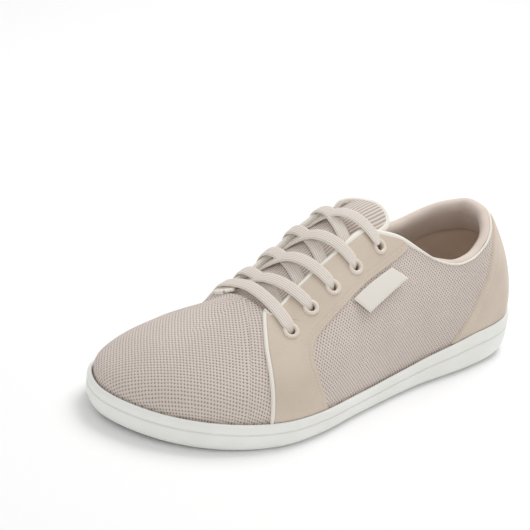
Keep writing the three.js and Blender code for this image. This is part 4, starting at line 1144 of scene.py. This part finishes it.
def make_tongue():
    v, u = np.meshgrid(np.linspace(0, 1, 70), np.linspace(-1, 1, 41), indexing="ij")
    point, normal = tongue_surface(v, u)
    rows, columns = v.shape
    half = TONGUE_THICKNESS / 2 * (1 - np.abs(u) ** 8 * 0.65) * (1 - ease(0.965, 1.0, v) * 0.5)
    top, low = point + normal * half[..., None], point - normal * half[..., None]
    points, faces = sheet(top, low)
    kinds = [0] * ((rows - 1) * (columns - 1)) + [1] * (len(faces) - (rows - 1) * (columns - 1))
    uv = np.stack([middle[0] - point[..., 0], middle[1] - point[..., 1]], -1).reshape(-1, 2)
    made = piece("tongue_pad", points, faces, [tongue_cloth, lining], "mesh_fabric", ["tongue"],
                 np.concatenate([uv, uv]), kinds)
    edge_v = np.concatenate([np.linspace(0.3, 1, 90), np.ones(39), np.linspace(1, 0.3, 90)])
    edge_u = np.concatenate([np.full(90, -1.0), np.linspace(-1, 1, 41)[1:-1], np.full(90, 1.0)])
    rim, rim_normal = tongue_surface(edge_v, edge_u)
    rim = smooth(rim, 2)
    tube("tongue_binding", rim, unit(smooth(rim_normal, 3)), 1.9, TONGUE_BINDING, ["tongue"])
    return made


# Lace: distance along a strand as a share of it and then in millimetres from its far eyelet, with its level
# over the last where it lies on top at the crossing and where it lies below
LACE_UNDER = -3.3
STRAND_NEAR = [(0.00, LACE_UNDER, LACE_UNDER), (0.16, -3.2, -3.2), (0.28, -2.0, -2.2), (0.41, -0.3, -1.7),
               (0.50, 1.0, -1.3), (0.58, 1.9, -0.2)]
STRAND_FAR = [(15.0, 2.4), (9.0, 2.4), (5.0, 2.3), (2.6, 2.1), (1.0, 1.0)]
BAR_NEAR = [(1.0, 1.0), (2.6, 2.1), (5.0, 2.3), (9.0, 2.3), (15.0, 2.2)]
BAR_MIDDLE = 2.0


def strand(start, end, on_top):
    """Places of one strand from under its first eyelet to over its second: across, level."""
    a, b = np.array([start["x"], start["across"]]), np.array([end["x"], end["across"]])
    length = np.linalg.norm(b - a)
    rows = [(share * length, over if on_top else under) for share, over, under in STRAND_NEAR]
    rows += [(length - back, level) for back, level in STRAND_FAR]
    level = curve(rows)
    run = np.linspace(0, rows[-1][0], 64)
    plan = a + (b - a) * (run / length)[:, None]
    return plan, level(run)


def bar(start, end):
    a, b = np.array([start["x"], start["across"]]), np.array([end["x"], end["across"]])
    length = np.linalg.norm(b - a)
    far = [(length - s, level) for s, level in reversed(BAR_NEAR)]
    rows = BAR_NEAR + [(length / 2, BAR_MIDDLE)] + far
    run = np.linspace(rows[0][0], rows[-1][0], 64)
    return a + (b - a) * (run / length)[:, None], curve(rows)(run)


def make_lace():
    order = [(OUTER, 5), (INNER, 4), (OUTER, 3), (INNER, 2), (OUTER, 1), (INNER, 1), (OUTER, 2), (INNER, 3),
             (OUTER, 4), (INNER, 5)]
    points, sideways = [], []
    sign = 1.0
    for k, (first, second) in enumerate(zip(order, order[1:])):
        a, b = spots[first], spots[second]
        if k == 4:
            plan, level = bar(a, b)
        elif k < 4:
            plan, level = strand(b, a, first[0] == OUTER)
            plan, level = plan[::-1], level[::-1]
        else:
            plan, level = strand(a, b, second[0] == OUTER)
        surface, normal = saddle(plan[:, 0], plan[:, 1])
        body = surface + normal * level[:, None]
        heading = unit(surface[-1] - surface[0])
        side = unit(np.cross(np.broadcast_to(heading, normal.shape), normal)) * sign
        if points:
            centre, axis, _, _ = spot_axes(a, 0)
            down = np.array([-0.6, -2.4])
            joint = centre + axis * down[:, None]
            points.append(joint[::-1] if k < 5 else joint)
            sideways.append(np.repeat((sideways[-1][-1] + side[0])[None], 2, 0))
        points.append(body)
        sideways.append(side)
        sign = -sign
    path = np.concatenate(points)
    side = np.concatenate(sideways)
    run = run_along(path)
    keep = np.concatenate([[True], np.linalg.norm(np.diff(path, axis=0), axis=1) > 0.02])
    path, side, run = path[keep], side[keep], run[keep]
    dense = np.linspace(0, run[-1], int(run[-1] / 0.6))
    path, side = smooth(read_off(dense, run, path), 2), smooth(read_off(dense, run, side), 4)
    tangent = unit(np.gradient(path, axis=0))
    side = unit(side - tangent * (side * tangent).sum(1, keepdims=True))
    upward = np.cross(side, tangent)
    centres = np.array([spot_axes(spots[key], 0)[0] for key in order])
    distance = np.linalg.norm(path[:, None] - centres[None], axis=-1).min(1)
    wide = LACE_WIDTH / 2 * mix(0.6, 1.0, ease(1.0, 5.0, distance))
    thick = LACE_THICKNESS / 2 * mix(1.4, 1.05, ease(1.0, 5.0, distance))
    angle = 2 * math.pi * np.arange(24) / 24
    section = np.stack([np.sign(np.cos(angle)) * np.abs(np.cos(angle)) ** 0.75,
                        np.sign(np.sin(angle)) * np.abs(np.sin(angle)) ** 0.62], -1)
    rings = path[:, None] + side[:, None] * section[None, :, :1] * wide[:, None, None]
    rings = rings + upward[:, None] * section[None, :, 1:] * thick[:, None, None]
    faces = tube_faces(len(path), 24)
    uv = np.stack(np.broadcast_arrays(dense[:, None], section[None, :, 0] * LACE_WIDTH / 2), -1)
    return piece("lace", rings, outward(rings, faces), [lace_cloth], "lace_fabric",
                 ["lace_bar"] + [f"lace_crossing_{number}" for number in (2, 3, 4, 5)], uv)


def make_label():
    down, t = np.meshgrid(np.linspace(0, 1, 14), np.linspace(0, 1, 40), indexing="ij")
    front, back = LABEL
    along = mix(mix(front[0], front[2], down), mix(back[0], back[2], down), t)
    up = mix(mix(front[1], front[3], down), mix(back[1], back[3], down), t)
    edge = np.minimum(np.minimum(t, 1 - t) * LABEL_LENGTH, np.minimum(down + 0.2, 1 - down) * LABEL_DEPTH)
    rounding = 0.5 * np.sqrt(np.clip(1 - (1 - np.clip(edge / 0.5, 0, 1)) ** 2, 0, 1))
    out = GAP + LABEL_LIFT * down + LABEL_THICKNESS / 2
    turn = turn_at(OUTER, along)
    top, low = last(turn, up, out + rounding), last(turn, up, out - rounding)
    uv = np.stack([t * LABEL_LENGTH, down * LABEL_DEPTH], -1).reshape(-1, 2)
    return piece("blank_label", *sheet(top, low), [label_cloth], "label_fabric", ["label_tab"],
                 np.concatenate([uv, uv]))


# Sole rings from the tread border out and up to the footbed: inset, share of the side's height,
# millimetres more
SOLE_RINGS = [
    (TREAD_BORDER, 0, 0), (6.4, 0, 0), (5.0, 0, 0), (3.7, 0, 0.25), (2.6, 0, 0.75), (1.7, 0, 1.5), (1.0, 0, 2.5),
    (0.5, 0, 3.7), (0.2, 0, 5.2), (0.0, 0.35, 2.0), (0.0, 0.50, 1.0), (0.0, 0.60, 0.0), (0.05, 0.625, 0.0),
    (0.5, 0.640, 0.0), (0.8, 0.655, 0.0), (0.5, 0.670, 0.0), (0.05, 0.685, 0.0), (0.0, 0.71, 0.0), (0.1, 0.82, 0.0),
    (0.3, 0.92, 0.0), (0.65, 0.97, 0.0), (1.1, 0.995, 0.0), (1.7, 1.0, 0.0), (2.2, 0.985, 0.0), (2.6, 0.94, 0.0),
]


def sole_bottom(x):
    return underside(np.clip(x / SOLE_LENGTH, 0, 1))


def make_sole_body():
    turns = HEEL_TURN + np.arange(420) / 420
    foot_share = footprint(turns)[:, 0] / SOLE_LENGTH
    rings = []
    for inset, share, more in SOLE_RINGS:
        foot = footprint(turns, inset)
        low = sole_bottom(foot[:, 0])
        rings.append(place(foot[:, 0], foot[:, 1], low + (feather(foot_share) - low) * share + more))
    foot = footprint(turns, LIP_INSET - GAP)
    rings.append(place(foot[:, 0], foot[:, 1], footbed(foot[:, 0] / SOLE_LENGTH)))
    floor = footprint(turns, LIP_INSET + 6)
    rings.append(place(floor[:, 0], floor[:, 1], footbed(floor[:, 0] / SOLE_LENGTH)))
    spine = place(np.clip(floor[:, 0], 14, SOLE_LENGTH - 16), np.interp(
        np.clip(floor[:, 0], 14, SOLE_LENGTH - 16), [0, 60, 130, 200, 285], [0, 3, 8, 4, -14]), 0)
    above = spine.copy()
    above[:, 2] = footbed((middle[0] - spine[:, 0]) / SOLE_LENGTH)
    rings.append(mix(rings[-1], above, 0.55))
    rings.append(above)
    below = []
    inner = footprint(turns, TREAD_BORDER)
    below.append(place(inner[:, 0], inner[:, 1], sole_bottom(inner[:, 0]) + TREAD_DEPTH))
    for t in (0.35, 0.7, 1.0):
        flat = mix(below[0], spine, t)
        flat[:, 2] = sole_bottom(middle[0] - flat[:, 0]) + TREAD_DEPTH
        below.append(flat)
    grid = np.array(below[::-1] + rings)
    return grid, grid_faces(len(grid), len(turns), closed_columns=True)


def inside_border(x, y, edge):
    """Points drawn back to the inside of the tread border."""
    px, py = edge[:, 0], edge[:, 1]
    nx, ny = np.roll(px, -1), np.roll(py, -1)
    flat = np.stack([np.ravel(x), np.ravel(y)], -1)
    cross = (py[None] > flat[:, 1:]) != (ny[None] > flat[:, 1:])
    with np.errstate(divide="ignore", invalid="ignore"):
        at = (nx - px)[None] * (flat[:, 1:] - py[None]) / (ny - py)[None] + px[None]
    inside = (cross & (flat[:, :1] < at)).sum(1) % 2 == 1
    nearest = np.linalg.norm(flat[:, None] - edge[None], axis=-1).argmin(1)
    flat = np.where(inside[:, None], flat, edge[nearest])
    return flat.reshape(np.shape(x) + (2,)), inside.reshape(np.shape(x))


LUG_RADIUS_STEPS = [
    (1.00, 0.0), (0.985, 0.6), (0.955, 1.6), (0.93, 1.9), (0.90, 2.0), (0.80, 2.0), (0.775, 1.85), (0.755, 1.25),
    (0.735, 1.25), (0.71, 1.85), (0.68, 2.0), (0.55, 2.0), (0.42, 2.0), (0.30, 2.0), (0.16, 2.0), (0.0, 2.0),
]
LUG_ARM = 0.52
LUG_GROOVE = 0.7


def make_lugs():
    edge = footprint(HEEL_TURN + np.arange(240) / 240, TREAD_BORDER + 0.2)
    parts = []
    spokes = 36
    angle = 2 * math.pi * np.arange(spokes) / spokes
    wedge = (angle + math.pi / 6) % (math.pi / 3) - math.pi / 6
    corner_radius = LUG_WIDTH / 2 / np.cos(wedge)
    corner_radius = np.minimum(corner_radius, LUG_WIDTH / 2 * 1.13)
    toe_limit, heel_limit = SOLE_LENGTH - TOE_BAND, HEEL_BAND
    rows = int(math.ceil(BALL_WIDTH / LUG_PITCH))
    row_step = LUG_PITCH * math.sqrt(3) / 2
    shape = np.array(LUG_RADIUS_STEPS)
    for row in range(-rows, rows + 1):
        for n in range(-12, 13):
            cx = middle[0] - (n + (0 if row % 2 == 0 else 0.5)) * LUG_PITCH
            cy = middle[1] - row * row_step
            if not heel_limit + LUG_WIDTH / 2 < cx < toe_limit - LUG_WIDTH / 2:
                continue
            x = cx + shape[:, :1] * corner_radius * np.sin(angle)[None]
            y = cy + shape[:, :1] * corner_radius * np.cos(angle)[None]
            kept, inside = inside_border(x, y, edge)
            if inside[0].mean() < 0.12:
                continue
            height = np.broadcast_to(shape[:, 1:], x.shape).copy()
            arm_way = (angle + math.pi / 6) % (2 * math.pi / 3) - math.pi / 3
            spread = np.abs(np.sin(arm_way))[None] * shape[:, :1] * LUG_WIDTH / 2
            on_arm = (np.cos(arm_way)[None] > 0) & (spread < 0.75) & (shape[:, :1] < LUG_ARM)
            height = np.where(on_arm, TREAD_DEPTH - LUG_GROOVE, height)
            if inside.mean() < 0.999:
                away = np.linalg.norm(kept - np.stack([x, y], -1), axis=-1)
                height = np.where(away > 0.01, np.minimum(height, TREAD_DEPTH), height)
            z = sole_bottom(kept[..., 0]) + TREAD_DEPTH + 0.2 - height * (TREAD_DEPTH + 0.2) / TREAD_DEPTH
            points = place(kept[..., 0], kept[..., 1], z)
            faces = grid_faces(len(shape), spokes, closed_columns=True)
            faces.append(list(range(spokes)))
            volume = np.ptp(kept[0, :, 0]) * np.ptp(kept[0, :, 1])
            if volume > 6:
                parts.append((points, faces))
    return parts


RIB_SECTION = [(-1.0, 0.0), (-0.93, 0.7), (-0.84, 1.6), (-0.70, 1.95), (-0.35, 2.0), (0.35, 2.0), (0.70, 1.95),
               (0.84, 1.6), (0.93, 0.7), (1.0, 0.0)]


def make_ribs():
    edge = footprint(HEEL_TURN + np.arange(300) / 300, TREAD_BORDER + 0.2)
    parts = []
    toe = np.arange(SOLE_LENGTH - TOE_BAND + RIB_WIDTH / 2, SOLE_LENGTH, RIB_PITCH)
    heel = np.arange(HEEL_BAND - RIB_WIDTH / 2, 0, -RIB_PITCH)
    section = np.array(RIB_SECTION)
    lines = [(at, -1) for at in toe] + [(at, 1) for at in heel]
    for at, way in lines:
        y = np.linspace(-BALL_WIDTH * 0.62, BALL_WIDTH * 0.62, 140)
        x = at + way * RIB_SWING * np.cos(2 * math.pi * (y + middle[1]) / RIB_WAVE)
        line = np.stack([x, y], -1)
        _, inside = inside_border(x, y, edge)
        picks = np.nonzero(inside)[0]
        if len(picks) < 6:
            continue
        first, final = max(picks[0] - 2, 0), min(picks[-1] + 3, len(y))
        line = line[first:final]
        along = unit(np.gradient(line, axis=0))
        aside = np.stack([along[:, 1], -along[:, 0]], -1)
        spread = line[:, None] + aside[:, None] * section[None, :, :1] * RIB_WIDTH / 2
        kept, _ = inside_border(spread[..., 0], spread[..., 1], edge)
        height = np.broadcast_to(section[None, :, 1], kept.shape[:2])
        z = sole_bottom(kept[..., 0]) + TREAD_DEPTH + 0.2 - height * (TREAD_DEPTH + 0.2) / TREAD_DEPTH
        points = place(kept[..., 0], kept[..., 1], z)
        parts.append((points, tube_faces(len(line), len(section))))
    return parts


def make_outsole():
    points, faces = join([make_sole_body()])
    piece("outsole_body", points, faces, [rubber], "sole_rubber", ["outsole"])
    points, faces = join(make_lugs() + make_ribs())
    return piece("outsole_tread", points, faces, [rubber], "sole_rubber", ["outsole"])


# Stitches: small capsules laid end to end along a seam
STITCH_PITCH = 2.1
STITCH_LENGTH = 1.4
STITCH_RADIUS = 0.2


def stitch_parts(points, normals):
    run = run_along(points)
    starts = np.arange(STITCH_PITCH / 2, run[-1] - STITCH_PITCH, STITCH_PITCH)
    parts = []
    lengths = np.array([0.0, 0.12, 0.5, 0.88, 1.0]) * STITCH_LENGTH
    radii = np.array([0.35, 0.85, 1.0, 0.85, 0.35]) * STITCH_RADIUS
    section = round_section(6)
    for start in starts:
        places = read_off(start + lengths, run, points)
        normal = unit(read_off(start + lengths, run, normals))
        parts.append((sweep(places, normal, section, radii, radii), tube_faces(len(lengths), 6)))
    return parts


def panel_row(edges, from_rear, shift):
    """Line on a panel at a distance from one of its side edges."""
    front_turn, front_up, rear_turn, rear_up = edges
    chord = np.linalg.norm(last_bare(front_turn, front_up) - last_bare(rear_turn, rear_up), axis=-1)
    t = np.clip(shift / (chord * 1.05), 0, 0.5)
    t = 1 - t if from_rear else t
    turn, up = mix(front_turn, rear_turn, t), mix(front_up, rear_up, t)
    return skin(turn, up, OVERLAY + GAP - 0.22), last_normal(turn, up)


def make_stitches():
    parts = []
    for side in (OUTER, INNER):
        edges = eyestay_edges(side)
        for distance in PANEL_SEAMS:
            parts += stitch_parts(*panel_row(edges[:4], True, distance))
    edges = counter_edges()
    for from_rear in (True, False):
        parts += stitch_parts(*panel_row(edges, from_rear, COUNTER_SEAM))
    points, faces = join(parts)
    return piece("stitches", points, faces, [thread], "microfibre", [])


def make_floor():
    item, tree, shader = new_material("floor_paint", 0.9, specular=0.2)
    tint = mottled(tree, 0.002, (252, 252, 252), (251, 251, 251))
    finish_material(tree, shader, tint)
    mesh = bpy.data.meshes.new("floor")
    half = 6.0
    corners = [(-half, -half, 0), (half, -half, 0), (half, half, 0), (-half, half, 0)]
    mesh.from_pydata(corners, [], [(0, 1, 2, 3)])
    mesh.materials.append(item)
    floor = bpy.data.objects.new("floor", mesh)
    bpy.context.collection.objects.link(floor)
    floor.location.z = -0.0002


def add_light(name, place_at, size, power):
    data = bpy.data.lights.new(name, "AREA")
    data.shape, data.size, data.energy = "DISK", size, power
    lamp = bpy.data.objects.new(name, data)
    bpy.context.collection.objects.link(lamp)
    spot = Vector(place_at)
    turned = (spot - TARGET).to_track_quat("Z", "Y")
    lamp.matrix_world = Matrix.Translation(spot) @ turned.to_matrix().to_4x4()


def make_light():
    world = bpy.data.worlds.new("studio")
    world.use_nodes = True
    sky = world.node_tree.nodes["Background"]
    sky.inputs["Color"].default_value = (1, 1, 1, 1)
    sky.inputs["Strength"].default_value = 0.63
    bpy.context.scene.world = world
    bpy.context.scene.view_settings.view_transform = "Standard"
    add_light("key", (0.6, 0.1, 1.27), 0.9, 10)
    add_light("fill", (-0.9, -0.9, 0.9), 1.2, 1.7)


upper_shell = make_upper()
panels = {}
for each_side, side_word in ((OUTER, "outer"), (INNER, "inner")):
    panels[each_side] = make_panel(
        f"eyestay_panel_{side_word}", eyestay_edges(each_side)[:4], [f"eyestay_{side_word}"])
make_panel("counter_panel", counter_edges(), ["heel_counter"], inner_count=150,
           front_rows=(COUNTER_SEAM,), rear_rows=(COUNTER_SEAM,))
cut_holes(upper_shell, (OUTER, INNER))
cut_holes(panels[OUTER], (OUTER,))
cut_holes(panels[INNER], (INNER,))
make_opening_binding()
make_strip_binding(OUTER)
make_strip_binding(INNER)
make_collar()
make_tongue()
make_lace()
make_eyelets()
make_label()
make_outsole()
make_stitches()

insole_cloth = make_lining("insole_cloth", (214, 197, 180), (202, 184, 166))
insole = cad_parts["insole"]
insole.data.materials.clear()
insole.data.materials.append(insole_cloth)

make_floor()
make_light()
